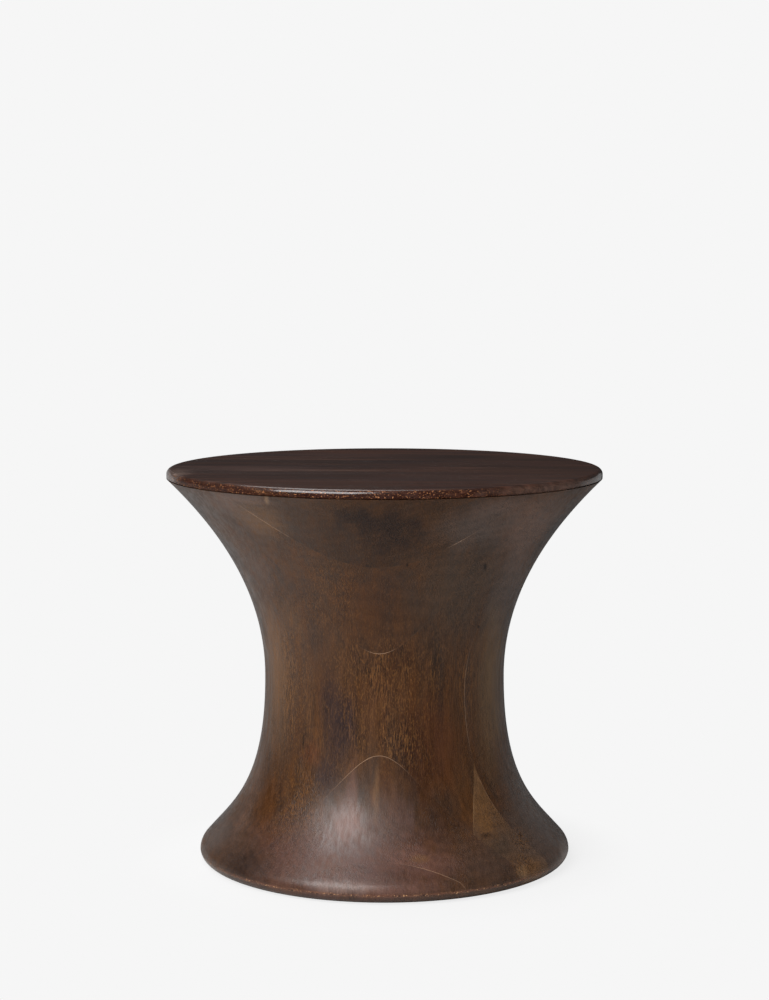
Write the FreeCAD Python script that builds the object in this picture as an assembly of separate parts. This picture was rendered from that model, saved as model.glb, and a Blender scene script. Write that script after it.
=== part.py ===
"""A turned hourglass stool whose round seat swivels on a hidden ball bearing plate.

Millimetres, +Z up, origin on the floor at the stool's axis, front towards -Y.
The pedestal is a stack of upright boards, glued face to face along Y and turned.
The seat is a disc of edge-glued boards, carried by the swivel plate in the pedestal's top.
"""
import FreeCAD
import Part
import math
import os

# Overall form
STOOL_H = 457.0
SEAT_R = 251.0
WAIST_R = 139.0
WAIST_Z = 216.0
FOOT_R = 215.8

# Flare curves: length of each curve's handles, and the slope from upright where it ends
UPPER_WAIST_HANDLE = 91.0
UPPER_RIM_HANDLE = 91.0
UPPER_FLARE_DEG = 45.4
LOWER_WAIST_HANDLE = 128.0
LOWER_FOOT_HANDLE = 49.5
LOWER_FLARE_DEG = 41.4

# Foot edge
FOOT_ROUND_R = 18.0
FOOT_EDGE_H = 9.0
FOOT_EDGE_IN = 7.0
FOOT_EDGE_BULGE = 1.6

# Seat disc
SEAT_T = 10.0
SEAT_TOP_ROUND = 5.8
SEAT_LOWER_CHAMFER = 1.0
SEAT_BOARDS = 6
SEAT_REVEAL = 0.4
RIM_SETBACK = 0.1

# Pedestal boards, the blocks outside its waist and the hollow at its centre
BOARD_T = 41.0
RIM_BLOCK_T = 41.0
RIM_EDGE_BLOCK_T = 25.4
RIM_BLOCKS = 3
FOOT_EDGE_BLOCK_T = 22.8
FOOT_BLOCKS = 2
CORE_BOARDS = 3
CORE_HALF_X = 60.0
STRIP_X = 104.5

# Boards that carry the swivel
RECESS_R = 150.0
SUBTOP_T = 18.0
SUBTOP_GAP = 4.0
BEARER_T = 18.0
BEARER_GAP = 0.5
RIVET_HOLE_R = 22.0

# Swivel plates, balls and cage
PLATE_T = 2.0
UPPER_PLATE_R = 80.0
LOWER_PLATE_R = 97.0
RACE_R = 68.0
BALL_R = 3.0
BALL_PLAY = 0.1
BALL_COUNT = 24
RACE_DEPTH = 0.8
CAGE_T = 1.2
CAGE_W = 13.0
CAGE_PLAY = 0.15

# Rivet through both plates
RIVET_R = 10.0
RIVET_WALL = 2.5
RIVET_PLAY = 0.05
FLANGE_R = 16.0
FLANGE_T = 1.5
WASHER_T = 1.0
AXIAL_PLAY = 0.1

# Screws
SCREW_R = 2.0
SCREW_PLAY = 0.05
SCREW_TIP = 4.0
HEAD_R = 4.0
COUNTERSINK_H = 2.2
PAN_H = 2.4
PAN_ROUND = 1.2
CROSS_W = 1.0
CROSS_L = 4.0
CROSS_DEPTH = 1.3
PLATE_SCREW_L = 14.0
SUBTOP_SCREW_L = 24.0
BEARER_SCREW_L = 34.0
PLATE_SCREWS = 4
BOARD_SCREWS = 8
UPPER_SCREW_CIRCLE_R = 45.0
LOWER_SCREW_CIRCLE_R = 89.0
BOARD_SCREW_CIRCLE_R = 118.0
ACCESS_R = 9.0
ACCESS_MARGIN = 1.0

# Felt pads under the foot
PAD_R = 16.0
PAD_T = 2.0
PAD_CIRCLE_R = 175.0
PAD_COUNT = 4

# Levels, from the floor up
BASE_Z = PAD_T
SEAT_Z = STOOL_H - SEAT_T
PEDESTAL_TOP_Z = SEAT_Z - SEAT_REVEAL
UPPER_PLATE_TOP_Z = SEAT_Z - SUBTOP_T
UPPER_PLATE_Z = UPPER_PLATE_TOP_Z - PLATE_T
HALF_GAP = BALL_R + BALL_PLAY - RACE_DEPTH
BALL_Z = UPPER_PLATE_Z - HALF_GAP
LOWER_PLATE_TOP_Z = BALL_Z - HALF_GAP
LOWER_PLATE_Z = LOWER_PLATE_TOP_Z - PLATE_T
LEDGE_Z = LOWER_PLATE_Z - BEARER_T

# Sizes that follow from the ones above
RIM_R = SEAT_R - RIM_SETBACK
SUBTOP_R = RECESS_R - SUBTOP_GAP
BEARER_R = RECESS_R - BEARER_GAP
CORE_HALF_Y = CORE_BOARDS * BOARD_T / 2
SCREW_HOLE_R = SCREW_R + SCREW_PLAY
BOARD_SCREW_START_DEG = 180.0 / BOARD_SCREWS
ACCESS_DEG = 180.0 / PLATE_SCREWS

ORIGIN = FreeCAD.Vector(0, 0, 0)
UP = FreeCAD.Vector(0, 0, 1)
ACROSS = FreeCAD.Vector(1, 0, 0)


def at(radius, height):
    """A point of a turned profile, in the plane y = 0."""
    return FreeCAD.Vector(radius, 0, height)


def turned(edges):
    """The solid that a closed profile sweeps around the stool's axis."""
    face = Part.Face(Part.Wire(edges))
    return face.revolve(ORIGIN, UP, 360)


def turned_polygon(points):
    """The solid of a profile with straight sides."""
    corners = [at(radius, height) for radius, height in points]
    return turned(Part.makePolygon(corners + corners[:1]).Edges)


def line(start, end):
    """A straight edge."""
    return Part.LineSegment(start, end).toShape()


def curve(poles):
    """A smooth edge that leaves its ends along its outer poles."""
    bezier = Part.BezierCurve()
    bezier.setPoles(poles)
    return bezier.toShape()


def arc(start, middle, end):
    """A round edge through three points."""
    return Part.Arc(start, middle, end).toShape()


def disc(radius, height, low_z, x=0.0, y=0.0):
    """An upright cylinder."""
    return Part.makeCylinder(radius, height, FreeCAD.Vector(x, y, low_z))


def ring(outer_r, inner_r, height, low_z):
    """A flat ring on the axis."""
    return disc(outer_r, height, low_z).cut(disc(inner_r, height, low_z))


def circle_points(radius, count, start_deg):
    """Places spread evenly around the axis."""
    for index in range(count):
        angle = math.radians(start_deg + index * 360.0 / count)
        yield radius * math.cos(angle), radius * math.sin(angle)


def moved(shape, x, y, z):
    """A copy of a shape, moved from the origin."""
    copy = shape.copy()
    copy.translate(FreeCAD.Vector(x, y, z))
    return copy


def slab(low_y, thickness, low_x=-SEAT_R, high_x=SEAT_R, low_z=0.0, high_z=STOOL_H):
    """A block as wide and tall as the stool, unless it is told less."""
    corner = FreeCAD.Vector(low_x, low_y, low_z)
    return Part.makeBox(high_x - low_x, thickness, high_z - low_z, corner)


def pedestal_edges():
    """The closed profile of the turned pedestal, from the base up."""
    upper_slope = math.radians(UPPER_FLARE_DEG)
    lower_slope = math.radians(LOWER_FLARE_DEG)
    base = at(FOOT_R - FOOT_EDGE_IN, BASE_Z)
    foot = at(FOOT_R, BASE_Z + FOOT_EDGE_H)
    chord = foot - base
    outward = FreeCAD.Vector(chord.z, 0, -chord.x).normalize()
    edge_middle = (base + foot) * 0.5 + outward * FOOT_EDGE_BULGE
    round_centre = at(FOOT_R - FOOT_ROUND_R, foot.z)

    def on_round(angle):
        return round_centre + at(math.cos(angle), math.sin(angle)) * FOOT_ROUND_R

    flare_end = on_round(lower_slope)
    waist = at(WAIST_R, WAIST_Z)
    rim = at(RIM_R, PEDESTAL_TOP_Z)
    lower_curve = curve([
        flare_end,
        flare_end + at(-math.sin(lower_slope), math.cos(lower_slope)) * LOWER_FOOT_HANDLE,
        waist - UP * LOWER_WAIST_HANDLE,
        waist,
    ])
    upper_curve = curve([
        waist,
        waist + UP * UPPER_WAIST_HANDLE,
        rim - at(math.sin(upper_slope), math.cos(upper_slope)) * UPPER_RIM_HANDLE,
        rim,
    ])
    return [
        line(at(0, BASE_Z), base),
        arc(base, edge_middle, foot),
        arc(foot, on_round(lower_slope / 2), flare_end),
        lower_curve,
        upper_curve,
        line(rim, at(0, PEDESTAL_TOP_Z)),
        line(at(0, PEDESTAL_TOP_Z), at(0, BASE_Z)),
    ]


def screw(length, head_profile, points_up):
    """A wood screw whose head seats at the origin, with a cross in its head."""
    shank = [(SCREW_R, length - SCREW_TIP), (0, length)]
    body = turned_polygon(head_profile + shank)
    top = min(height for radius, height in head_profile)
    for wide, deep in ((CROSS_L, CROSS_W), (CROSS_W, CROSS_L)):
        corner = FreeCAD.Vector(-wide / 2, -deep / 2, top)
        body = body.cut(Part.makeBox(wide, deep, CROSS_DEPTH, corner))
    if not points_up:
        body.rotate(ORIGIN, ACROSS, 180)
    return body


def countersunk_screw(length, points_up):
    """A screw whose flat head lies flush."""
    return screw(length, [(0, 0), (HEAD_R, 0), (SCREW_R, COUNTERSINK_H)], points_up)


def pan_screw(length, points_up):
    """A screw whose rounded head lies on the surface."""
    head = [
        (0, -PAN_H),
        (HEAD_R - PAN_ROUND, -PAN_H),
        (HEAD_R, -PAN_H + PAN_ROUND),
        (HEAD_R, 0),
        (SCREW_R, 0),
    ]
    return screw(length, head, points_up)


def screw_hole(length, low_z, x, y):
    """A hole that a screw's shank fills."""
    return disc(SCREW_HOLE_R, length, low_z, x, y)


def countersink(points_up):
    """The cone that a flush head fills, with its wide end at the origin."""
    wide = HEAD_R + SCREW_PLAY
    cone = Part.makeCone(wide, SCREW_HOLE_R, COUNTERSINK_H)
    if not points_up:
        cone.rotate(ORIGIN, ACROSS, 180)
    return cone


def board_screw_places():
    """Where the screws stand in the backing board and in the bearer."""
    return list(circle_points(BOARD_SCREW_CIRCLE_R, BOARD_SCREWS, BOARD_SCREW_START_DEG))


def upper_screw_places():
    """Where the screws stand in the upper plate, one over the access hole."""
    return list(circle_points(UPPER_SCREW_CIRCLE_R, PLATE_SCREWS, ACCESS_DEG))


def lower_screw_places():
    """Where the screws stand in the lower plate."""
    return list(circle_points(LOWER_SCREW_CIRCLE_R, PLATE_SCREWS, 0.0))


def access_place():
    """Where a driver reaches the upper plate's screws from below."""
    return upper_screw_places()[0]


def make_pedestal_body():
    """The whole turned pedestal, with its recess, its hollow and its screw holes."""
    body = turned(pedestal_edges())
    body = body.cut(disc(RECESS_R, PEDESTAL_TOP_Z - LEDGE_Z, LEDGE_Z))
    corner = FreeCAD.Vector(-CORE_HALF_X, -CORE_HALF_Y, BASE_Z)
    body = body.cut(Part.makeBox(2 * CORE_HALF_X, 2 * CORE_HALF_Y, LEDGE_Z - BASE_Z, corner))
    screw_end = LOWER_PLATE_Z - BEARER_SCREW_L
    for x, y in board_screw_places():
        body = body.cut(screw_hole(LEDGE_Z - screw_end, screw_end, x, y))
    return body


def side_by_side(name, shape):
    """Names the two pieces that the hollow leaves of a board."""
    left, right = sorted(shape.Solids, key=lambda solid: solid.CenterOfMass.x)
    return {f"{name}_left": left, f"{name}_right": right}


def make_strips(name, body, low_y):
    """A board glued up from two strips, the narrow one cut in two by the waist."""
    main = body.common(slab(low_y, BOARD_T, high_x=STRIP_X))
    narrow = body.common(slab(low_y, BOARD_T, low_x=STRIP_X))
    lower, upper = sorted(narrow.Solids, key=lambda solid: solid.CenterOfMass.z)
    return {
        name: main.Solids[0],
        f"{name}_strip_lower": lower,
        f"{name}_strip_upper": upper,
    }


def block_seams(inner, reach, edge_thickness, count):
    """Where the blocks meet, from the board they are glued to out to the edge they end at."""
    seams = [reach - edge_thickness - RIM_BLOCK_T * step for step in range(count - 1)]
    return [inner] + seams[::-1] + [reach]


def make_blocks(face_name, body, first_layer):
    """The blocks outside the waist, stacked outwards under the rim and on the foot."""
    blocks = {}
    inner = (first_layer - 0.5) * BOARD_T
    levels = (
        ("upper", block_seams(inner, RIM_R, RIM_EDGE_BLOCK_T, RIM_BLOCKS), WAIST_Z, STOOL_H),
        ("lower", block_seams(inner, FOOT_R, FOOT_EDGE_BLOCK_T, FOOT_BLOCKS), 0.0, WAIST_Z),
    )
    for level, seams, low_z, high_z in levels:
        for layer, (near, far) in enumerate(zip(seams, seams[1:]), start=first_layer):
            low_y = near if face_name == "back" else -far
            block = slab(low_y, far - near, low_z=low_z, high_z=high_z)
            blocks[f"{face_name}_block_{layer}_{level}"] = body.common(block).Solids[0]
    return blocks


def make_pedestal_boards():
    """The turned stack, as one solid for each board, strip and block that is left."""
    body = make_pedestal_body()
    boards = side_by_side("core_board", body.common(slab(-BOARD_T / 2, BOARD_T)))
    first_block = math.ceil(WAIST_R / BOARD_T + 0.5)
    for face_name in ("front", "back"):
        for layer in range(1, first_block):
            inner = (layer - 0.5) * BOARD_T
            low_y = inner if face_name == "back" else -inner - BOARD_T
            name = f"{face_name}_board_{layer}"
            if inner < CORE_HALF_Y:
                boards.update(side_by_side(name, body.common(slab(low_y, BOARD_T))))
            elif face_name == "front" and layer == first_block - 1:
                boards.update(make_strips(name, body, low_y))
            else:
                boards[name] = body.common(slab(low_y, BOARD_T)).Solids[0]
        boards.update(make_blocks(face_name, body, first_block))
    return boards


def make_seat_boards():
    """The seat disc with its rounded edge, cut along its glue joints."""
    top_arc = SEAT_TOP_ROUND * math.sqrt(0.5)
    top_centre = at(SEAT_R - SEAT_TOP_ROUND, STOOL_H - SEAT_TOP_ROUND)
    top_start = top_centre + at(SEAT_TOP_ROUND, 0)
    top_end = top_centre + at(0, SEAT_TOP_ROUND)
    low_start = at(SEAT_R - SEAT_LOWER_CHAMFER, SEAT_Z)
    low_end = at(SEAT_R, SEAT_Z + SEAT_LOWER_CHAMFER)
    body = turned([
        line(at(0, SEAT_Z), low_start),
        line(low_start, low_end),
        line(low_end, top_start),
        arc(top_start, top_centre + at(top_arc, top_arc), top_end),
        line(top_end, at(0, STOOL_H)),
        line(at(0, STOOL_H), at(0, SEAT_Z)),
    ])
    depth = SUBTOP_SCREW_L - SUBTOP_T
    for x, y in board_screw_places():
        body = body.cut(screw_hole(depth, SEAT_Z, x, y))
    boards = {}
    width = 2 * SEAT_R / SEAT_BOARDS
    for index in range(SEAT_BOARDS):
        piece = body.common(slab(index * width - SEAT_R, width))
        boards[f"seat_board_{index + 1}"] = piece.Solids[0]
    return boards


def make_subtop():
    """The backing board under the seat, with holes for both sets of screws."""
    board = ring(SUBTOP_R, RIVET_HOLE_R, SUBTOP_T, UPPER_PLATE_TOP_Z)
    for x, y in board_screw_places():
        board = board.cut(screw_hole(SUBTOP_T, UPPER_PLATE_TOP_Z, x, y))
        board = board.cut(moved(countersink(True), x, y, UPPER_PLATE_TOP_Z))
    for x, y in upper_screw_places():
        board = board.cut(screw_hole(PLATE_SCREW_L - PLATE_T, UPPER_PLATE_TOP_Z, x, y))
    return board


def make_bearer():
    """The board in the pedestal's top that carries the swivel."""
    board = ring(BEARER_R, RIVET_HOLE_R, BEARER_T, LEDGE_Z)
    for x, y in board_screw_places():
        board = board.cut(screw_hole(BEARER_T, LEDGE_Z, x, y))
        board = board.cut(moved(countersink(False), x, y, LOWER_PLATE_Z))
    depth = PLATE_SCREW_L - PLATE_T
    for x, y in lower_screw_places():
        board = board.cut(screw_hole(depth, LOWER_PLATE_Z - depth, x, y))
    x, y = access_place()
    return board.cut(disc(ACCESS_R + ACCESS_MARGIN, BEARER_T, LEDGE_Z, x, y))


def race():
    """The round groove that the balls run in, shared by both plates."""
    return Part.makeTorus(RACE_R, BALL_R + BALL_PLAY, FreeCAD.Vector(0, 0, BALL_Z))


def make_upper_plate():
    """The steel plate under the backing board."""
    plate = ring(UPPER_PLATE_R, RIVET_R + RIVET_PLAY, PLATE_T, UPPER_PLATE_Z)
    for x, y in upper_screw_places():
        plate = plate.cut(screw_hole(PLATE_T, UPPER_PLATE_Z, x, y))
    return plate.cut(race())


def make_lower_plate():
    """The steel plate on the bearer, with the hole for the driver."""
    plate = ring(LOWER_PLATE_R, RIVET_R + RIVET_PLAY, PLATE_T, LOWER_PLATE_Z)
    for x, y in lower_screw_places():
        plate = plate.cut(screw_hole(PLATE_T, LOWER_PLATE_Z, x, y))
    x, y = access_place()
    plate = plate.cut(disc(ACCESS_R, PLATE_T, LOWER_PLATE_Z, x, y))
    return plate.cut(race())


def ball_places():
    """The centres of the balls on the race."""
    return list(circle_points(RACE_R, BALL_COUNT, 0.0))


def make_balls():
    """The bearing balls."""
    ball = Part.makeSphere(BALL_R)
    return Part.makeCompound([moved(ball, x, y, BALL_Z) for x, y in ball_places()])


def make_ball_cage():
    """The flat ring that keeps the balls apart."""
    low_z = BALL_Z - CAGE_T / 2
    cage = ring(RACE_R + CAGE_W / 2, RACE_R - CAGE_W / 2, CAGE_T, low_z)
    for x, y in ball_places():
        cage = cage.cut(disc(BALL_R + CAGE_PLAY, CAGE_T, low_z, x, y))
    return cage


def make_rivet():
    """The hollow rivet that keeps the plates together, flanged at both ends."""
    bore = RIVET_R - RIVET_WALL
    low = LOWER_PLATE_Z - FLANGE_T
    under_head = UPPER_PLATE_TOP_Z + AXIAL_PLAY + WASHER_T
    return turned_polygon([
        (bore, low),
        (FLANGE_R, low),
        (FLANGE_R, LOWER_PLATE_Z),
        (RIVET_R, LOWER_PLATE_Z),
        (RIVET_R, under_head),
        (FLANGE_R, under_head),
        (FLANGE_R, under_head + FLANGE_T),
        (bore, under_head + FLANGE_T),
    ])


def make_washer():
    """The washer between the rivet's head and the upper plate."""
    return ring(FLANGE_R, RIVET_R + RIVET_PLAY, WASHER_T, UPPER_PLATE_TOP_Z + AXIAL_PLAY)


def screw_group(shape, places, seat_z):
    """Copies of one screw, seated at one level."""
    return Part.makeCompound([moved(shape, x, y, seat_z) for x, y in places])


def make_floor_pads():
    """The felt pads under the foot."""
    places = circle_points(PAD_CIRCLE_R, PAD_COUNT, 180.0 / PAD_COUNT)
    return {
        f"floor_pad_{number}": disc(PAD_R, PAD_T, 0, x, y)
        for number, (x, y) in enumerate(places, start=1)
    }


def make_parts():
    """Every piece of the stool, by the name of its node."""
    parts = {}
    parts.update(make_pedestal_boards())
    parts.update(make_seat_boards())
    parts["seat_subtop"] = make_subtop()
    parts["swivel_bearer"] = make_bearer()
    parts["swivel_upper_plate"] = make_upper_plate()
    parts["swivel_lower_plate"] = make_lower_plate()
    parts["bearing_balls"] = make_balls()
    parts["ball_cage"] = make_ball_cage()
    parts["swivel_rivet"] = make_rivet()
    parts["rivet_washer"] = make_washer()
    parts["subtop_screws"] = screw_group(
        countersunk_screw(SUBTOP_SCREW_L, True), board_screw_places(), UPPER_PLATE_TOP_Z)
    parts["bearer_screws"] = screw_group(
        countersunk_screw(BEARER_SCREW_L, False), board_screw_places(), LOWER_PLATE_Z)
    parts["upper_plate_screws"] = screw_group(
        pan_screw(PLATE_SCREW_L, True), upper_screw_places(), UPPER_PLATE_Z)
    parts["lower_plate_screws"] = screw_group(
        pan_screw(PLATE_SCREW_L, False), lower_screw_places(), LOWER_PLATE_TOP_Z)
    parts.update(make_floor_pads())
    return parts


os.makedirs("parts", exist_ok=True)
for node_name, node_shape in make_parts().items():
    node_shape.exportStep(f"parts/{node_name}.step")
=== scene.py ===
"""Looks of a turned hourglass stool with a swivel seat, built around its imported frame.

Metres, +Z up, origin on the floor at the stool's axis, front towards -Y. The pedestal and the
seat are turned whole, sawn along their glue joints and dressed board by board.
"""
from __future__ import annotations

import logging
import math
import random
from dataclasses import dataclass, field
from enum import Enum
from functools import partialmethod
from typing import Any, Dict, Iterator, List, Mapping, Optional, Sequence, Tuple, Union

import bmesh
import bpy
from mathutils import Matrix, Vector


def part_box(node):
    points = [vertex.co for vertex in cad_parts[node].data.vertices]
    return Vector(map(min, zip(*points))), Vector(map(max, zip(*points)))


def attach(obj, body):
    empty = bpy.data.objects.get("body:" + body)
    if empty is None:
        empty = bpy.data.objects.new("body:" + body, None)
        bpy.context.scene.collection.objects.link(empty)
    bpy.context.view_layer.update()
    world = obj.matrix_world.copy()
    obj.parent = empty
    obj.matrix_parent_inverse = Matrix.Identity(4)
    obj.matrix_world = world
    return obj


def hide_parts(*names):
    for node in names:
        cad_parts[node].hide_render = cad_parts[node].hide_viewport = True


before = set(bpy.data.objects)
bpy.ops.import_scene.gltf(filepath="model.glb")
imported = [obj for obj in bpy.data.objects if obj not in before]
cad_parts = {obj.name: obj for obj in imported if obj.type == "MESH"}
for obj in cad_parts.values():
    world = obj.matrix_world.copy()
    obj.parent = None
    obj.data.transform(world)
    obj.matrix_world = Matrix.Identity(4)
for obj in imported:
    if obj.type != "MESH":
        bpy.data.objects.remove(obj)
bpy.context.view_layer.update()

log = logging.getLogger("stool")

WELD = 1e-6
SHARP_ANGLE = math.radians(28.0)
QUARTER_TURN = math.pi / 2.0
DISPLAY_FULL = 255.0
DISPLAY_TOE_END = 0.04045
DISPLAY_TOE_SLOPE = 12.92
DISPLAY_OFFSET = 0.055
DISPLAY_POWER = 2.4

Colour = Tuple[float, float, float, float]
Point = Tuple[float, float]
Place = Tuple[float, float, float]
Object = bpy.types.Object
Mesh = bpy.types.Mesh
Material = bpy.types.Material
Socket = bpy.types.NodeSocket
Sockets = Mapping[str, Socket]
Input = Union[float, int, Sequence[float], Socket, bpy.types.ID]
Inputs = Mapping[Union[str, int], Input]


class Body(Enum):
    """The bodies that pieces ride on."""

    PEDESTAL = "pedestal"
    SEAT = "seat"
    CAGE = "ball_cage"


class Slot(Enum):
    """Names of the record's material slots, one passed along with each new piece."""

    PEDESTAL_WOOD = "pedestal_wood"
    SEAT_WOOD = "seat_wood"
    SCREW_STEEL = "screw_steel"
    BALL_STEEL = "ball_steel"
    FELT = "felt"


class Kind(Enum):
    """The kinds of socket that node groups have."""

    VALUE = "NodeSocketFloat"
    COUNT = "NodeSocketInt"
    VECTOR = "NodeSocketVector"
    GEOMETRY = "NodeSocketGeometry"
    MATERIAL = "NodeSocketMaterial"


class Side(Enum):
    """The two faces of the pedestal's stack, as the sign of Y on each."""

    FRONT = -1.0
    BACK = 1.0


class Axis(Enum):
    """The axes that saw cuts are square to."""

    X = 0
    Y = 1
    Z = 2


def linear(channel: int) -> float:
    """Takes the display curve off one channel of a colour.

    Args:
        channel: The channel, 0 to 255.

    Returns:
        Its linear share, 0 to 1.
    """
    share = channel / DISPLAY_FULL
    if share <= DISPLAY_TOE_END:
        return share / DISPLAY_TOE_SLOPE
    return ((share + DISPLAY_OFFSET) / (1.0 + DISPLAY_OFFSET)) ** DISPLAY_POWER


def display(red: int, green: int, blue: int) -> Colour:
    """A display colour, 0 to 255 each, as the opaque linear colour that shaders take."""
    return (linear(red), linear(green), linear(blue), 1.0)


def linked(name: str, data: bpy.types.ID) -> Object:
    """Adds an object to the scene.

    Args:
        name: Its name.
        data: Its mesh, curve, light or camera.

    Returns:
        The new object.
    """
    made = bpy.data.objects.new(name, data)
    bpy.context.scene.collection.objects.link(made)
    return made


def as_mesh(name: str, work: bmesh.types.BMesh) -> Mesh:
    """Makes a plain mesh of a worked shape, which is then freed.

    Args:
        name: The mesh's name.
        work: The worked shape.

    Returns:
        The new mesh.
    """
    mesh = bpy.data.meshes.new(name)
    work.to_mesh(mesh)
    work.free()
    return mesh


def evaluated_mesh(source: Object) -> Mesh:
    """The plain mesh that an object's modifiers make."""
    return bpy.data.meshes.new_from_object(source.evaluated_get(bpy.context.evaluated_depsgraph_get()))


def face_outwards(work: bmesh.types.BMesh) -> None:
    """Turns a closed shape's faces outwards and crisps its corners.

    Args:
        work: The shape.
    """
    bmesh.ops.recalc_face_normals(work, faces=work.faces)
    for edge in work.edges:
        edge.smooth = edge.calc_face_angle(0.0) < SHARP_ANGLE


def closed_mesh(mesh: Mesh) -> Mesh:
    """Turns a closed mesh's faces outwards and crisps its corners.

    Args:
        mesh: The mesh.

    Returns:
        The same mesh.
    """
    work = bmesh.new()
    work.from_mesh(mesh)
    face_outwards(work)
    work.to_mesh(mesh)
    work.free()
    return mesh


@dataclass(frozen=True)
class Noise:
    """Noise: cells to the metre along each axis, finer layers, their strength, and how far it swirls."""

    cells: Place
    detail: float = 2.0
    rough: float = 0.5
    swirl: float = 0.0


class Graph:
    """Adds nodes to a node tree and wires them."""

    mix_first: int = 6
    mix_second: int = 7
    mix_result: int = 2

    def __init__(self, tree: bpy.types.NodeTree) -> None:
        """Keeps the tree that nodes are added to."""
        self.tree = tree

    def add(self, kind: str, inputs: Optional[Inputs] = None, **settings: Any) -> bpy.types.Node:
        """Adds one node.

        Args:
            kind: The node's type.
            inputs: What its input sockets take, by name or index: constants or other sockets.
            **settings: Its properties.

        Returns:
            The new node.
        """
        node = self.tree.nodes.new(kind)
        for name, value in settings.items():
            setattr(node, name, value)
        for key, value in (inputs or {}).items():
            self.feed(node.inputs[key], value)
        return node

    def made(self, kind: str, inputs: Optional[Inputs] = None, **settings: Any) -> Socket:
        """The first output of a new node."""
        return self.add(kind, inputs, **settings).outputs[0]

    def feed(self, socket: Socket, value: Input) -> None:
        """Links a socket to another one, or sets its constant.

        Args:
            socket: The input socket.
            value: What it takes.
        """
        if isinstance(value, Socket):
            self.tree.links.new(value, socket)
        else:
            socket.default_value = value

    def math(self, operation: str, *values: Input) -> Socket:
        """One step of arithmetic on values."""
        return self.made("ShaderNodeMath", dict(enumerate(values)), operation=operation)

    plus = partialmethod(math, "ADD")
    minus = partialmethod(math, "SUBTRACT")
    times = partialmethod(math, "MULTIPLY")
    times_plus = partialmethod(math, "MULTIPLY_ADD")
    larger = partialmethod(math, "MAXIMUM")
    sine = partialmethod(math, "SINE")

    def apart(self, first: Input, second: Input) -> Socket:
        """How far two values lie apart."""
        return self.math("ABSOLUTE", self.minus(first, second))

    def vector(self, operation: str, *values: Input) -> Socket:
        """One step of arithmetic on vectors."""
        return self.made("ShaderNodeVectorMath", dict(enumerate(values)), operation=operation)

    def length(self, vector: Input) -> Socket:
        """The length of a vector."""
        return self.add("ShaderNodeVectorMath", {0: vector}, operation="LENGTH").outputs["Value"]

    def radius(self, vector: Input) -> Socket:
        """How far a place lies from the Z axis."""
        return self.length(self.vector("MULTIPLY", vector, (1.0, 1.0, 0.0)))

    def scaled(self, vector: Input, factor: Input) -> Socket:
        """A vector or colour times a value."""
        return self.made("ShaderNodeVectorMath", {0: vector, "Scale": factor}, operation="SCALE")

    def fade(self, value: Input, low: float, high: float, start: Input = 0.0, end: Input = 1.0) -> Socket:
        """A smooth step of a value.

        Args:
            value: What is stepped.
            low: Where the step starts.
            high: Where it ends, which may be below its start.
            start: The result at the start.
            end: The result at the end.

        Returns:
            The stepped value.
        """
        flip = low > high
        inputs = {
            "Value": value,
            "From Min": high if flip else low,
            "From Max": low if flip else high,
            "To Min": end if flip else start,
            "To Max": start if flip else end,
        }
        return self.made("ShaderNodeMapRange", inputs, interpolation_type="SMOOTHSTEP")

    def blend(self, share: Input, first: Input, second: Input) -> Socket:
        """A blend of two colours, by the share of the second."""
        inputs = {0: share, self.mix_first: first, self.mix_second: second}
        return self.add("ShaderNodeMix", inputs, data_type="RGBA").outputs[self.mix_result]

    def noise(self, vector: Input, noise: Noise) -> Socket:
        """Noise read at a place in metres.

        Args:
            vector: The place.
            noise: The noise's cells and layers.

        Returns:
            The noise, about 0.5 on average.
        """
        return self.made("ShaderNodeTexNoise", {
            "Vector": self.vector("MULTIPLY", vector, noise.cells),
            "Scale": 1.0,
            "Detail": noise.detail,
            "Roughness": noise.rough,
            "Distortion": noise.swirl,
        })

    def combine(self, x: Input, y: Input, z: Input) -> Socket:
        """A vector of three values."""
        return self.made("ShaderNodeCombineXYZ", {0: x, 1: y, 2: z})

    def split(self, vector: Input) -> Tuple[Socket, ...]:
        """The three values of a vector."""
        return tuple(self.add("ShaderNodeSeparateXYZ", {0: vector}).outputs)

    def turned(self, vector: Input) -> Socket:
        """A place, turned so that what lies along X lies along Z."""
        x, y, z = self.split(vector)
        return self.combine(y, z, x)

    def place(self) -> Socket:
        """Object coordinates, in metres."""
        return self.add("ShaderNodeTexCoord").outputs["Object"]

    def attribute(self, name: str) -> Socket:
        """A value that a mesh carries under a name."""
        return self.add("ShaderNodeAttribute", attribute_name=name).outputs["Fac"]


class Surface(Graph):
    """The graph of a new material with one plain surface shader."""

    def __init__(self, name: str) -> None:
        """Makes the material.

        Args:
            name: Its name.
        """
        self.material = bpy.data.materials.new(name)
        self.material.use_nodes = True
        super().__init__(self.material.node_tree)

    def bump(self, height: Input, strength: float, reach: float) -> Socket:
        """The normal of a surface that a height of this reach makes uneven."""
        return self.made("ShaderNodeBump", {"Height": height, "Strength": strength, "Distance": reach})

    def dressed(self, values: Inputs) -> Material:
        """Sets or links the shader's sockets.

        Args:
            values: What the sockets take, by name.

        Returns:
            The material.
        """
        shader = self.tree.nodes["Principled BSDF"]
        for name, value in values.items():
            self.feed(shader.inputs[name], value)
        return self.material


SocketList = Tuple[Tuple[str, Kind], ...]
Wiring = Dict[str, Input]


def value_sockets(*names: str) -> SocketList:
    """Sockets that each carry one value."""
    return tuple((name, Kind.VALUE) for name in names)


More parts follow.
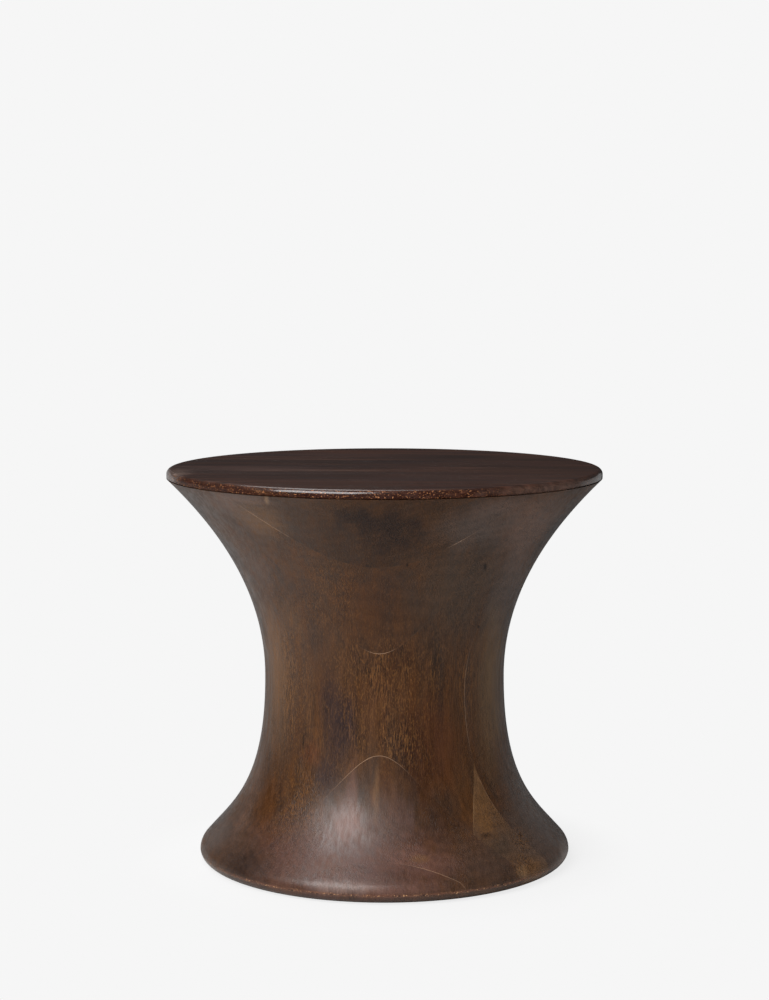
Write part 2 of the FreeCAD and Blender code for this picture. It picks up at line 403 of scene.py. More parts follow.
class NodeGroup:
    """A node group with named inputs and outputs, built once and shared."""

    title: str = ""
    tree_type: str = "ShaderNodeTree"
    inputs: SocketList = ()
    outputs: SocketList = ()

    def wire(self, graph: Graph, given: Sockets) -> Wiring:
        """Adds the group's nodes.

        Args:
            graph: The group's own graph.
            given: The group's input sockets, by name.

        Returns:
            What each output takes, by name.
        """
        raise NotImplementedError

    def tree(self) -> bpy.types.NodeTree:
        """The group's node tree, made on first use.

        Returns:
            The tree.
        """
        found = bpy.data.node_groups.get(self.title)
        if found:
            return found
        tree = bpy.data.node_groups.new(self.title, self.tree_type)
        for way, sockets in (("INPUT", self.inputs), ("OUTPUT", self.outputs)):
            for name, kind in sockets:
                tree.interface.new_socket(name=name, in_out=way, socket_type=kind.value)
        graph = Graph(tree)
        entry = graph.add("NodeGroupInput")
        given = {name: entry.outputs[name] for name, _ in self.inputs}
        graph.add("NodeGroupOutput", self.wire(graph, given))
        return tree

    def put(self, graph: Graph, values: Inputs) -> Sockets:
        """Places the group in a material's graph, with its inputs by name, and gives its outputs."""
        return graph.add("ShaderNodeGroup", values, node_tree=self.tree()).outputs


class WoodFigure(NodeGroup):
    """The grain of a board whose length lies along Z."""

    title = "wood figure"
    inputs = (("Vector", Kind.VECTOR), ("Seed", Kind.VALUE))
    outputs = value_sockets("Cloud", "Glow", "Band", "Streak", "Ring", "Pore", "Fleck", "Grit")

    band = Noise((38.0, 38.0, 2.2), 3.0, 0.6, 0.2)
    cloud = Noise((14.0, 14.0, 5.0), 1.5, 0.45, 0.25)
    glow = Noise((75.0, 75.0, 3.0), swirl=0.3)
    streak = Noise((230.0, 130.0, 7.0), 4.0, 0.6, 0.3)
    sway = Noise((17.0, 17.0, 3.0))
    patch = Noise((22.0, 22.0, 9.0))
    pore = Noise((880.0, 500.0, 95.0), 0.0, swirl=0.6)
    fleck = Noise((840.0, 480.0, 90.0), 0.0, swirl=0.6)
    grit = Noise((900.0, 560.0, 300.0), 0.0)
    patch_step: Point = (0.40, 0.62)
    patch_rest: float = 0.25
    pore_step: Point = (0.50, 0.60)
    fleck_step: Point = (0.54, 0.64)
    grit_step: Point = (0.56, 0.66)
    seed_spread: Place = (1.37, 2.11, 0.73)
    pith_turn: Point = (5.3, 3.1)
    pith_reach: float = 0.09
    ring_pitch: float = 0.0075
    ring_sway: float = 0.024

    def pith(self, graph: Graph, seed: Socket) -> Socket:
        """The middle of the board's growth rings, which its seed moves around the axis.

        Args:
            graph: The group's own graph.
            seed: The board's seed.

        Returns:
            The middle, as a place.
        """
        turns = (graph.times(seed, turn) for turn in self.pith_turn)
        waves = (graph.math(wave, turn) for wave, turn in zip(("SINE", "COSINE"), turns))
        return graph.combine(*(graph.times(wave, self.pith_reach) for wave in waves), 0.0)

    def wire(self, graph: Graph, given: Sockets) -> Wiring:
        """Adds the noise of each layer of grain, moved by the board's seed.

        Args:
            graph: The group's own graph.
            given: The place and the board's seed.

        Returns:
            The layers, by name.
        """
        place, seed = given["Vector"], given["Seed"]
        own = graph.vector("ADD", place, graph.scaled(self.seed_spread, seed))
        radius = graph.radius(graph.vector("SUBTRACT", place, self.pith(graph, seed)))
        bent = graph.plus(radius, graph.times(graph.noise(own, self.sway), self.ring_sway))
        wave = graph.sine(graph.times(bent, math.tau / self.ring_pitch))
        patch = graph.fade(graph.noise(own, self.patch), *self.patch_step, self.patch_rest, 1.0)
        return {
            "Cloud": graph.noise(own, self.cloud),
            "Glow": graph.noise(own, self.glow),
            "Band": graph.noise(own, self.band),
            "Streak": graph.noise(own, self.streak),
            "Ring": graph.fade(wave, -1.0, 1.0),
            "Pore": graph.times(graph.fade(graph.noise(own, self.pore), *self.pore_step), patch),
            "Fleck": graph.times(graph.fade(graph.noise(own, self.fleck), *self.fleck_step), patch),
            "Grit": graph.fade(graph.noise(own, self.grit), *self.grit_step),
        }


class SeamLine(NodeGroup):
    """A thin line where a flat joint meets the surface."""

    title = "seam line"
    inputs = value_sockets("Across", "Joint", "Half Width")
    outputs = value_sockets("Mask")

    def wire(self, graph: Graph, given: Sockets) -> Wiring:
        """Adds a mask that is 1 on the joint's plane and 0 beyond its half width."""
        off = graph.apart(given["Across"], given["Joint"])
        return {"Mask": graph.fade(graph.math("DIVIDE", off, given["Half Width"]), 1.0, 0.0)}


class WoodMark(NodeGroup):
    """A soft patch with a ragged edge, for knots, checks and changes of colour."""

    title = "wood mark"
    inputs = (*((name, Kind.VECTOR) for name in ("Vector", "Centre", "Reach")), ("Ragged", Kind.VALUE))
    outputs = value_sockets("Mask")

    edge = Noise((55.0, 55.0, 22.0), 3.0, 0.6)
    full_to: float = 0.15

    def wire(self, graph: Graph, given: Sockets) -> Wiring:
        """Adds a mask that falls from 1 near the centre to 0 at the reach, bent by noise.

        Args:
            graph: The group's own graph.
            given: The place, and the patch's centre, reach and raggedness.

        Returns:
            The mask.
        """
        place = given["Vector"]
        off = graph.vector("DIVIDE", graph.vector("SUBTRACT", place, given["Centre"]), given["Reach"])
        wobble = graph.times(graph.minus(graph.noise(place, self.edge), 0.5), given["Ragged"])
        return {"Mask": graph.fade(graph.plus(graph.length(off), wobble), 1.0, self.full_to)}


class EdgeWear(NodeGroup):
    """Rubbed lacquer along an edge, with bare flecks and dark pits."""

    title = "edge wear"
    inputs = (("Vector", Kind.VECTOR), ("Band", Kind.VALUE))
    outputs = value_sockets("Rub", "Fleck", "Pit")

    layers: Dict[str, Tuple[Noise, Point]] = {
        "Rub": (Noise((60.0, 60.0, 300.0), 3.0, 0.6), (0.30, 0.62)),
        "Fleck": (Noise((560.0, 560.0, 760.0), 1.0), (0.60, 0.72)),
        "Pit": (Noise((260.0, 260.0, 420.0), 1.0), (0.60, 0.72)),
    }

    def wire(self, graph: Graph, given: Sockets) -> Wiring:
        """Adds noise of three sizes, kept to the band along the edge.

        Args:
            graph: The group's own graph.
            given: The place and the band.

        Returns:
            The three masks, by name.
        """
        worn = {name: graph.fade(graph.noise(given["Vector"], noise), *step)
                for name, (noise, step) in self.layers.items()}
        return {name: graph.times(given["Band"], mask) for name, mask in worn.items()}


class LacquerFilm(NodeGroup):
    """The small unevenness of a sprayed and rubbed finish."""

    title = "lacquer film"
    inputs = (("Vector", Kind.VECTOR), ("Sheen", Kind.VALUE), ("Spread", Kind.VALUE))
    outputs = value_sockets("Roughness", "Height")

    patch = Noise((22.0, 22.0, 9.0), 3.0, 0.6)
    ripple = Noise((150.0, 150.0, 60.0))

    def wire(self, graph: Graph, given: Sockets) -> Wiring:
        """Adds a roughness that varies in patches, and a fine ripple.

        Args:
            graph: The group's own graph.
            given: The place, the mean roughness and how far it varies.

        Returns:
            The roughness and the ripple's height.
        """
        patch = graph.minus(graph.noise(given["Vector"], self.patch), 0.5)
        return {
            "Roughness": graph.plus(given["Sheen"], graph.times(patch, given["Spread"])),
            "Height": graph.noise(given["Vector"], self.ripple),
        }


class MetalSkin(NodeGroup):
    """Fine scratches and cloudy plating on steel."""

    title = "metal skin"
    inputs = (("Vector", Kind.VECTOR), ("Sheen", Kind.VALUE))
    outputs = value_sockets("Cloud", "Roughness", "Height")

    cloud = Noise((90.0, 90.0, 90.0), 3.0, 0.6)
    scratch = Noise((40.0, 2600.0, 900.0))
    scratch_sheen: float = 0.14

    def wire(self, graph: Graph, given: Sockets) -> Wiring:
        """Adds cloudy and scratched noise.

        Args:
            graph: The group's own graph.
            given: The place and the least roughness.

        Returns:
            The clouds, the roughness and the scratches' height.
        """
        scratch = graph.noise(given["Vector"], self.scratch)
        return {
            "Cloud": graph.noise(given["Vector"], self.cloud),
            "Roughness": graph.plus(given["Sheen"], graph.times(scratch, self.scratch_sheen)),
            "Height": scratch,
        }


WOOD_FIGURE = WoodFigure()
SEAM_LINE = SeamLine()
WOOD_MARK = WoodMark()
EDGE_WEAR = EdgeWear()
LACQUER_FILM = LacquerFilm()
METAL_SKIN = MetalSkin()


class Tint(Enum):
    """Marks in the wood, and painted highlights, reflections and shade, as a display colour and the share of
    it that shows.
    """

    CHECK = ((20, 10, 7), 0.92)
    EMBER = ((72, 39, 10), 0.66)
    RUST = ((78, 40, 17), 0.60)
    SIENNA = ((50, 25, 8), 0.75)
    # Dark streaks in the wood, and painted shade under the rim's overhang and along the foot's lower edge.
    GLOOM = ((46, 31, 24), 0.50)
    # Dark knots, and painted shade under the rim, along the foot's lower edge and on the top's far edge.
    BARK = ((34, 25, 23), 0.80)
    DUSK = ((42, 28, 28), 0.80)
    ASH = ((66, 53, 43), 0.62)
    # Greyer wood, and painted reflection of the floor at the foot's ends and under the rim on the right.
    SLATE = ((78, 66, 60), 0.70)
    PLUM = ((84, 54, 47), 0.75)
    # Honey-coloured wood, and painted light on the lit left of the waist and under the rim on the left.
    HONEY = ((104, 72, 42), 0.55)
    UMBER = ((70, 54, 46), 0.65)
    # Painted highlight and reflection on the foot's bevels and round, and at the seat rim's left end.
    CHALK = ((196, 188, 182), 0.85)
    TAN = ((100, 76, 50), 0.70)
    # Painted highlight: pink where the key's highlight falls on the foot and along the foot's round.
    ROSE = ((114, 80, 70), 0.60)
    # A mauve tint on the seat's top, and painted highlight that widens the key's highlight on the foot.
    MAUVE = ((80, 58, 52), 0.50)
    # A pale line in the seat's top, and painted reflection under the rim, on the flare's sides and at the
    # rim's ends.
    GLAZE = ((104, 82, 72), 0.60)
    PALE = ((138, 108, 78), 0.60)


@dataclass(frozen=True)
class Patch:
    """A soft spot in the wood: its middle, how far it reaches, how ragged and how strong it is."""

    centre: Place
    reach: Place
    ragged: float = field(default=0.6, kw_only=True)
    strength: float = field(default=1.0, kw_only=True)


@dataclass(frozen=True)
class Mark(Patch):
    """A patch of another colour."""

    tint: Tint


@dataclass(frozen=True)
class GlueLine(Patch):
    """A stretch of glue line that shows: the joint's plane along Y and half the line's width."""

    joint: float
    half_width: float


PEDESTAL_MARKS_AND_PAINTED_LIGHT: Tuple[Mark, ...] = (
    Mark((-0.040, -0.170, 0.035), (0.180, 0.150, 0.075), Tint.PLUM),
    Mark((0.125, -0.150, 0.035), (0.080, 0.090, 0.060), Tint.UMBER),
    Mark((-0.165, -0.110, 0.030), (0.060, 0.080, 0.045), Tint.UMBER),
    # Painted shade on the bevel under the front of the crease, then painted reflections on the bevel at the
    # foot's left and right ends.
    Mark((0.000, -0.205, 0.003), (0.170, 0.060, 0.007), Tint.GLOOM, ragged=0.2),
    Mark((-0.200, -0.060, 0.004), (0.050, 0.090, 0.007), Tint.CHALK, ragged=0.2, strength=0.6),
    Mark((0.205, -0.055, 0.009), (0.045, 0.080, 0.012), Tint.CHALK, ragged=0.2, strength=0.45),
    # Painted highlight along the round above the foot's crease.
    Mark((-0.010, -0.212, 0.018), (0.130, 0.040, 0.010), Tint.ROSE, strength=0.6),
    # Painted reflection under the rim, on the right.
    Mark((0.135, -0.195, 0.432), (0.055, 0.050, 0.020), Tint.GLAZE, strength=0.8),
    Mark((-0.197, 0.015, 0.045), (0.040, 0.070, 0.050), Tint.BARK),
    # Painted reflection on the left of the foot.
    Mark((-0.162, -0.085, 0.062), (0.022, 0.040, 0.034), Tint.GLAZE, strength=0.7),
    Mark((-0.215, -0.055, 0.415), (0.035, 0.080, 0.055), Tint.BARK, strength=0.9),
    Mark((-0.178, -0.050, 0.365), (0.035, 0.060, 0.070), Tint.BARK, strength=0.8),
    # Painted reflection under the rim, on the left.
    Mark((-0.145, -0.202, 0.441), (0.060, 0.050, 0.010), Tint.GLAZE, ragged=0.3, strength=0.8),
    # Painted highlight, carrying the key's highlight on the foot further right.
    Mark((0.062, -0.183, 0.040), (0.045, 0.030, 0.022), Tint.ROSE, strength=0.45),
    # Painted reflection on the right of the upper flare.
    Mark((0.152, -0.093, 0.352), (0.030, 0.060, 0.055), Tint.GLAZE, strength=0.5),
    # Painted shade along the foot's lower left edge.
    Mark((-0.165, -0.140, 0.015), (0.050, 0.050, 0.020), Tint.BARK, strength=0.5),
    # Painted reflection under the rim on the right, then grey on the right of the flare that is partly
    # painted reflection.
    Mark((0.165, -0.135, 0.405), (0.060, 0.090, 0.080), Tint.GLAZE),
    Mark((0.138, -0.090, 0.320), (0.035, 0.070, 0.090), Tint.SLATE),
    # Painted highlight on the foot.
    Mark((0.030, -0.187, 0.047), (0.040, 0.030, 0.020), Tint.ROSE, strength=0.5),
    # Painted light: a honey tone on the lit left of the waist.
    Mark((-0.120, -0.070, 0.230), (0.036, 0.060, 0.130), Tint.HONEY),
    Mark((-0.015, -0.165, 0.315), (0.060, 0.070, 0.070), Tint.EMBER),
    Mark((0.090, -0.140, 0.350), (0.080, 0.090, 0.120), Tint.ASH),
    Mark((0.125, -0.070, 0.215), (0.030, 0.060, 0.140), Tint.TAN),
    # Painted reflection, grey at the foot's right end.
    Mark((0.180, -0.080, 0.060), (0.070, 0.100, 0.100), Tint.SLATE),
    Mark((0.012, -0.139, 0.215), (0.070, 0.040, 0.090), Tint.EMBER),
    Mark((0.058, -0.127, 0.160), (0.045, 0.050, 0.080), Tint.RUST),
    Mark((-0.084, -0.142, 0.325), (0.030, 0.050, 0.050), Tint.GLOOM, strength=0.5),
    Mark((-0.070, -0.129, 0.265), (0.026, 0.050, 0.055), Tint.GLOOM, strength=0.8),
    Mark((-0.057, -0.128, 0.208), (0.019, 0.050, 0.045), Tint.DUSK),
    Mark((-0.046, -0.135, 0.164), (0.026, 0.050, 0.042), Tint.DUSK),
    Mark((-0.058, -0.138, 0.125), (0.024, 0.050, 0.035), Tint.DUSK),
    Mark((-0.077, -0.121, 0.147), (0.020, 0.040, 0.020), Tint.RUST),
    Mark((-0.087, -0.112, 0.161), (0.0022, 0.020, 0.012), Tint.CHECK, ragged=0.5),
    Mark((-0.125, -0.104, 0.090), (0.026, 0.040, 0.045), Tint.EMBER),
    Mark((-0.114, -0.110, 0.088), (0.007, 0.040, 0.036), Tint.GLOOM),
    # Painted shade along the foot's lower left edge.
    Mark((-0.145, -0.150, 0.024), (0.055, 0.070, 0.030), Tint.GLOOM),
    Mark((0.006, -0.147, 0.125), (0.010, 0.030, 0.034), Tint.EMBER),
    Mark((0.072, -0.148, 0.084), (0.032, 0.050, 0.040), Tint.GLOOM),
    # Pink and mauve painted into the key's highlight on the foot, with a honey streak among them.
    Mark((-0.029, -0.152, 0.106), (0.009, 0.030, 0.055), Tint.ROSE, ragged=0.9, strength=0.6),
    Mark((-0.034, -0.161, 0.080), (0.026, 0.030, 0.036), Tint.ROSE, ragged=0.9),
    Mark((-0.003, -0.152, 0.108), (0.005, 0.030, 0.045), Tint.HONEY, ragged=0.9),
    Mark((0.036, -0.158, 0.086), (0.006, 0.030, 0.030), Tint.MAUVE, ragged=0.9),
    Mark((0.020, -0.160, 0.080), (0.032, 0.040, 0.050), Tint.MAUVE, ragged=0.9),
    Mark((0.117, -0.127, 0.068), (0.013, 0.020, 0.024), Tint.HONEY, ragged=0.9),
    Mark((0.1185, -0.1335, 0.0585), (0.010, 0.012, 0.004), Tint.BARK, ragged=0.9),
    Mark((0.046, -0.1855, 0.045), (0.016, 0.020, 0.006), Tint.HONEY),
    Mark((0.137, -0.140, 0.046), (0.022, 0.040, 0.020), Tint.ASH),
    Mark((0.160, -0.141, 0.020), (0.010, 0.020, 0.009), Tint.PALE, ragged=1.4),
    # Painted light, then painted shade, under the rim on the left.
    Mark((-0.127, -0.184, 0.417), (0.050, 0.060, 0.035), Tint.HONEY),
    Mark((-0.208, -0.100, 0.430), (0.035, 0.080, 0.045), Tint.GLOOM),
    Mark((-0.1165, -0.218, 0.443), (0.004, 0.020, 0.010), Tint.PALE),
    Mark((0.031, -0.143, 0.134), (0.0018, 0.020, 0.009), Tint.CHECK, ragged=0.5),
    Mark((0.032, -0.185, 0.369), (0.0022, 0.012, 0.003), Tint.CHECK, ragged=0.3),
    Mark((0.109, -0.102, 0.288), (0.0020, 0.012, 0.003), Tint.CHECK, ragged=0.3),
    Mark((0.116, -0.141, 0.361), (0.0030, 0.016, 0.007), Tint.CHECK, ragged=0.3),
    # Painted reflection under the rim on the right, then painted shade under the rim's front.
    Mark((0.105, -0.185, 0.415), (0.070, 0.070, 0.050), Tint.SLATE),
    Mark((0.005, -0.210, 0.405), (0.075, 0.060, 0.050), Tint.GLOOM, ragged=1.6),
    Mark((0.020, -0.216, 0.408), (0.038, 0.060, 0.034), Tint.BARK, ragged=1.6),
    Mark((-0.020, -0.225, 0.425), (0.030, 0.060, 0.020), Tint.BARK, ragged=1.6),
    Mark((-0.052, -0.191, 0.038), (0.026, 0.030, 0.018), Tint.RUST),
    Mark((0.023, -0.140, 0.256), (0.022, 0.040, 0.030), Tint.SIENNA, strength=0.7),
    Mark((0.040, -0.139, 0.148), (0.042, 0.040, 0.075), Tint.SIENNA),
    Mark((-0.092, -0.106, 0.175), (0.020, 0.040, 0.032), Tint.SIENNA, strength=0.5),
    Mark((-0.040, -0.135, 0.190), (0.024, 0.040, 0.044), Tint.DUSK),
    # Painted reflections on the left of the foot.
    Mark((-0.146, -0.064, 0.094), (0.022, 0.040, 0.045), Tint.GLAZE, strength=0.4),
    Mark((-0.190, -0.062, 0.036), (0.034, 0.050, 0.036), Tint.SLATE),
    Mark((-0.099, -0.116, 0.298), (0.020, 0.040, 0.035), Tint.HONEY, strength=0.4),
    # Painted reflection under the rim, on the left.
    Mark((-0.170, -0.165, 0.432), (0.042, 0.040, 0.022), Tint.GLAZE, strength=0.5),
    Mark((0.198, -0.064, 0.396), (0.030, 0.050, 0.035), Tint.BARK, strength=0.5),
    # Painted reflection at the foot's right end, then a painted highlight along the front of the foot's
    # round.
    Mark((0.211, -0.045, 0.017), (0.014, 0.050, 0.014), Tint.CHALK, strength=0.2),
    Mark((-0.040, -0.209, 0.018), (0.060, 0.030, 0.010), Tint.CHALK, strength=0.14),
    Mark((0.173, -0.125, 0.019), (0.022, 0.030, 0.014), Tint.HONEY),
    # Painted shade along the foot's lower left edge.
    Mark((-0.150, -0.142, 0.027), (0.035, 0.040, 0.025), Tint.BARK, strength=0.5),
    # Painted reflection on the left of the upper flare.
    Mark((-0.132, -0.120, 0.352), (0.024, 0.040, 0.045), Tint.GLAZE, strength=0.35),
    Mark((0.1045, -0.125, 0.085), (0.0009, 0.040, 0.034), Tint.PALE, ragged=0.5, strength=0.7),
)
SEAT_MARKS_AND_PAINTED_LIGHT: Tuple[Mark, ...] = (
    Mark((-0.150, -0.030, 0.457), (0.120, 0.050, 0.020), Tint.MAUVE),
    Mark((0.160, -0.030, 0.457), (0.120, 0.060, 0.020), Tint.GLOOM),
    Mark((-0.075, -0.0435, 0.457), (0.120, 0.006, 0.020), Tint.GLAZE, ragged=0.9),
    # Painted reflections at the rim's right and left ends.
    Mark((0.190, -0.160, 0.4510), (0.130, 0.140, 0.008), Tint.GLAZE, ragged=0.3),
    Mark((-0.235, -0.080, 0.4550), (0.030, 0.070, 0.012), Tint.GLAZE, ragged=0.3),
    Mark((-0.117, -0.222, 0.450), (0.035, 0.030, 0.007), Tint.HONEY, strength=0.5),
    # Painted highlight at the rim's left end.
    Mark((-0.234, -0.090, 0.453), (0.030, 0.040, 0.008), Tint.CHALK, ragged=0.3, strength=0.14),
    # Painted shade along the top's far edge, against its highlight.
    Mark((0.000, 0.246, 0.457), (0.200, 0.012, 0.010), Tint.BARK, ragged=0.3),
)
FIGURED_PATCHES: Tuple[Patch, ...] = (
    Patch((0.006, -0.139, 0.222), (0.100, 0.070, 0.095), ragged=1.0, strength=0.85),
    Patch((0.023, -0.139, 0.172), (0.060, 0.050, 0.060), ragged=1.0, strength=0.8),
    Patch((-0.095, -0.100, 0.214), (0.036, 0.060, 0.120), ragged=1.0, strength=0.6),
    Patch((-0.100, -0.125, 0.095), (0.060, 0.060, 0.060), ragged=1.0, strength=0.6),
    Patch((0.094, -0.103, 0.225), (0.014, 0.030, 0.055), ragged=1.0, strength=0.7),
    Patch((0.118, -0.120, 0.075), (0.024, 0.040, 0.050)),
    Patch((0.158, -0.105, 0.046), (0.020, 0.030, 0.018)),
    Patch((0.160, -0.135, 0.025), (0.024, 0.030, 0.020)),
    Patch((-0.060, -0.160, 0.315), (0.060, 0.060, 0.080), ragged=1.4, strength=0.35),
    Patch((-0.052, -0.135, 0.165), (0.040, 0.050, 0.090), ragged=1.0, strength=0.25),
)
GLUE_LINES: Tuple[GlueLine, ...] = (
    GlueLine((0.002, -0.1435, 0.266), (0.024, 0.020, 0.014), -0.1435, 0.00010, ragged=0.2),
    GlueLine((-0.018, -0.1435, 0.128), (0.072, 0.020, 0.056), -0.1435, 0.00011, ragged=0.4),
    GlueLine((0.098, -0.1025, 0.205), (0.020, 0.020, 0.080), -0.1025, 0.00040, ragged=1.2, strength=0.6),
    GlueLine((0.122, -0.1025, 0.092), (0.026, 0.020, 0.042), -0.1025, 0.00035, ragged=1.2, strength=0.7),
    GlueLine((-0.125, -0.1845, 0.420), (0.060, 0.020, 0.040), -0.1845, 0.00045, ragged=1.2),
    GlueLine((0.085, -0.1845, 0.405), (0.032, 0.020, 0.030), -0.1845, 0.00040, ragged=1.2),
    GlueLine((0.070, -0.1930, 0.030), (0.070, 0.020, 0.024), -0.1930, 0.00030, ragged=1.0),
)


@dataclass(frozen=True)
class StainedWood:
    """Dark stain and satin lacquer on a board, shared by the pedestal and the seat."""

    joints: Tuple[float, ...]
    name: str
    # Marks in the wood, painted highlights, reflections and shade among them.
    marks: Tuple[Mark, ...]
    along_x: bool
    dark: Colour
    middle: Colour
    warm: Colour
    pore: Colour
    fleck: Colour
    glue: Colour
    rub: Colour
    bare: Colour
    cool: Colour
    sheen: float
    sheen_spread: float
    glue_share: float
    glue_half_width: float
    edge_coat: float
    gold: Colour = display(116, 84, 54)
    figured: Tuple[Patch, ...] = ()
    glue_lines: Tuple[GlueLine, ...] = ()
    joint_rest: float = 0.12
    joint_break: Noise = Noise((60.0, 60.0, 60.0), 3.0, 0.6)
    joint_step: Point = (0.38, 0.60)
    cloud_step: Point = (0.28, 0.72)
    band_step: Point = (0.46, 0.66)
    band_share: float = 0.40
    fleck_share: float = 0.06
    fleck_extra: float = 0.40
    pore_share: float = 0.26
    pore_extra: float = 0.54
    grit_share: float = 0.06
    grit_extra: float = 0.22
    streak_step: Point = (0.25, 0.75)
    streak_depth: float = 0.16
    streak_sheen: float = 0.38
    ring_step: Point = (0.0, 1.0)
    ring_depth: float = 0.055
    film_step: Point = (0.36, 0.64)
    streak_film: float = 0.7
    rub_share: float = 0.75
    bare_share: float = 0.85
    pit_share: float = 0.80
    wear_rest: float = 0.15
    coat: float = 0.13
    coat_rough: float = 0.33
    specular: float = 0.38
    pore_depth: float = 0.8
    bump_reach: float = 0.0003
    bump_strength: float = 0.50

    def mark_place(self, graph: Graph, place: Socket) -> Socket:
        """The place that marks, patches and glue lines are read at."""
        return place

    def edge_band(self, graph: Graph, place: Socket) -> Socket:
        """Where the edge is worn, which each wood says for itself."""
        raise NotImplementedError

    def gloss_band(self, graph: Graph, place: Socket) -> Socket:
        """Where the lacquer shines more, which each wood says for itself too."""
        raise NotImplementedError

    @staticmethod
    def spots(graph: Graph, place: Socket, *patches: Patch) -> Input:
        """A mask that is as strong as each patch in its middle and 0 away from them all.

        Args:
            graph: The material's graph.
            place: Where the patches are read.
            *patches: The patches.

        Returns:
            The mask.
        """
        found: Input = 0.0
        for patch in patches:
            values = {"Vector": place, "Centre": patch.centre, "Reach": patch.reach, "Ragged": patch.ragged}
            found = graph.larger(found, graph.times(WOOD_MARK.put(graph, values)["Mask"], patch.strength))
        return found

    @staticmethod
    def seam(graph: Graph, across: Socket, joint: float, half_width: float) -> Socket:
        """A line where the plane of a joint meets the surface."""
        return SEAM_LINE.put(graph, {"Across": across, "Joint": joint, "Half Width": half_width})["Mask"]

    def stained(self, graph: Graph, figure: Sockets) -> Socket:
        """The stained board's ground colour.

        Args:
            graph: The material's graph.
            figure: The outputs of the wood figure.

        Returns:
            The colour.
        """
        plain = graph.blend(graph.fade(figure["Cloud"], *self.cloud_step), self.dark, self.middle)
        banded = graph.fade(figure["Band"], *self.band_step, 0.0, self.band_share)
        ground = graph.blend(banded, plain, self.cool)
        glow = graph.times(graph.fade(figure["Glow"], *self.cloud_step), graph.attribute("board_warmth"))
        gilded = graph.blend(graph.attribute("board_gold"), graph.blend(glow, ground, self.warm), self.gold)
        return graph.scaled(gilded, graph.attribute("board_tone"))

    def marked(self, graph: Graph, place: Socket, colour: Socket) -> Socket:
        """The colour with the marks that this wood has, painted highlights, reflections and shade among
        them.

        Args:
            graph: The material's graph.
            place: Where the marks are read.
            colour: The colour under them.

        Returns:
            The colour.
        """
        for mark in self.marks:
            shade, share = mark.tint.value
            colour = graph.blend(graph.times(self.spots(graph, place, mark), share), colour, display(*shade))
        return colour

    def grained(self, graph: Graph, place: Socket, figure: Sockets, colour: Socket) -> Socket:
        """The colour with streaks, rings, flecks, pores and grit, which are bolder in figured patches.

        Args:
            graph: The material's graph.
            place: Where the patches are read.
            figure: The outputs of the wood figure.
            colour: The colour under them.

        Returns:
            The colour.
        """
        for layer, step, depth in (("Streak", self.streak_step, self.streak_depth),
                                   ("Ring", self.ring_step, self.ring_depth)):
            colour = graph.scaled(colour, graph.fade(figure[layer], *step, 1.0 - depth, 1.0 + depth))
        bold = self.spots(graph, place, *self.figured)
        for layer, share, extra, shade in (("Fleck", self.fleck_share, self.fleck_extra, self.fleck),
                                           ("Pore", self.pore_share, self.pore_extra, self.pore),
                                           ("Grit", self.grit_share, self.grit_extra, self.fleck)):
            strength = graph.times_plus(bold, extra, share)
            colour = graph.blend(graph.times(figure[layer], strength), colour, shade)
        return colour

    def joined(self, graph: Graph, place: Socket, colour: Socket) -> Socket:
        """The colour with a faint glue line on every joint plane across Y, and the stretches that show.

        Args:
            graph: The material's graph.
            place: Where the glue lines are read.
            colour: The colour under them.

        Returns:
            The colour.
        """
        across = graph.split(place)[1]
        lines: Input = 0.0
        for joint in self.joints:
            lines = graph.larger(lines, self.seam(graph, across, joint, self.glue_half_width))
        broken = graph.fade(graph.noise(place, self.joint_break), *self.joint_step)
        seen = graph.times(lines, graph.times(broken, self.joint_rest))
        for line in self.glue_lines:
            seam = self.seam(graph, across, line.joint, line.half_width)
            seen = graph.larger(seen, graph.times(seam, self.spots(graph, place, line)))
        return graph.blend(graph.times(seen, self.glue_share), colour, self.glue)

    def worn(self, graph: Graph, place: Socket, colour: Socket) -> Socket:
        """The colour with rubbed lacquer, bare flecks and pits along the edge.

        Args:
            graph: The material's graph.
            place: Object coordinates.
            colour: The colour under them.

        Returns:
            The colour.
        """
        wear = EDGE_WEAR.put(graph, {"Vector": place, "Band": self.edge_band(graph, place)})
        for layer, share, shade in (("Rub", self.rub_share, self.rub), ("Fleck", self.bare_share, self.bare),
                                    ("Pit", self.pit_share, self.pore)):
            colour = graph.blend(graph.times(wear[layer], share), colour, shade)
        return colour

    def material(self) -> Material:
        """The finished material.

        Returns:
            The material.
        """
        graph = Surface(self.name)
        place = graph.place()
        spot = self.mark_place(graph, place)
        grain = graph.turned(place) if self.along_x else place
        figure = WOOD_FIGURE.put(graph, {"Vector": grain, "Seed": graph.attribute("board_seed")})
        film = LACQUER_FILM.put(graph, {"Vector": grain, "Sheen": self.sheen, "Spread": self.sheen_spread})
        marked = self.marked(graph, spot, self.stained(graph, figure))
        joined = self.joined(graph, spot, self.grained(graph, spot, figure, marked))
        thick, thin = self.coat * (1.0 + self.streak_film), self.coat * (1.0 - self.streak_film)
        coat = graph.fade(figure["Streak"], *self.film_step, thick, thin)
        uneven = graph.minus(figure["Streak"], 0.5)
        height = graph.times_plus(figure["Pore"], -self.pore_depth, film["Height"])
        return graph.dressed({
            "Base Color": self.worn(graph, place, joined),
            "Roughness": graph.times_plus(uneven, self.streak_sheen, film["Roughness"]),
            "Coat Weight": graph.fade(self.gloss_band(graph, place), 0.0, 1.0, coat, self.edge_coat),
            "Normal": graph.bump(height, self.bump_strength, self.bump_reach),
            "Specular IOR Level": self.specular,
            "Coat Roughness": self.coat_rough,
        })


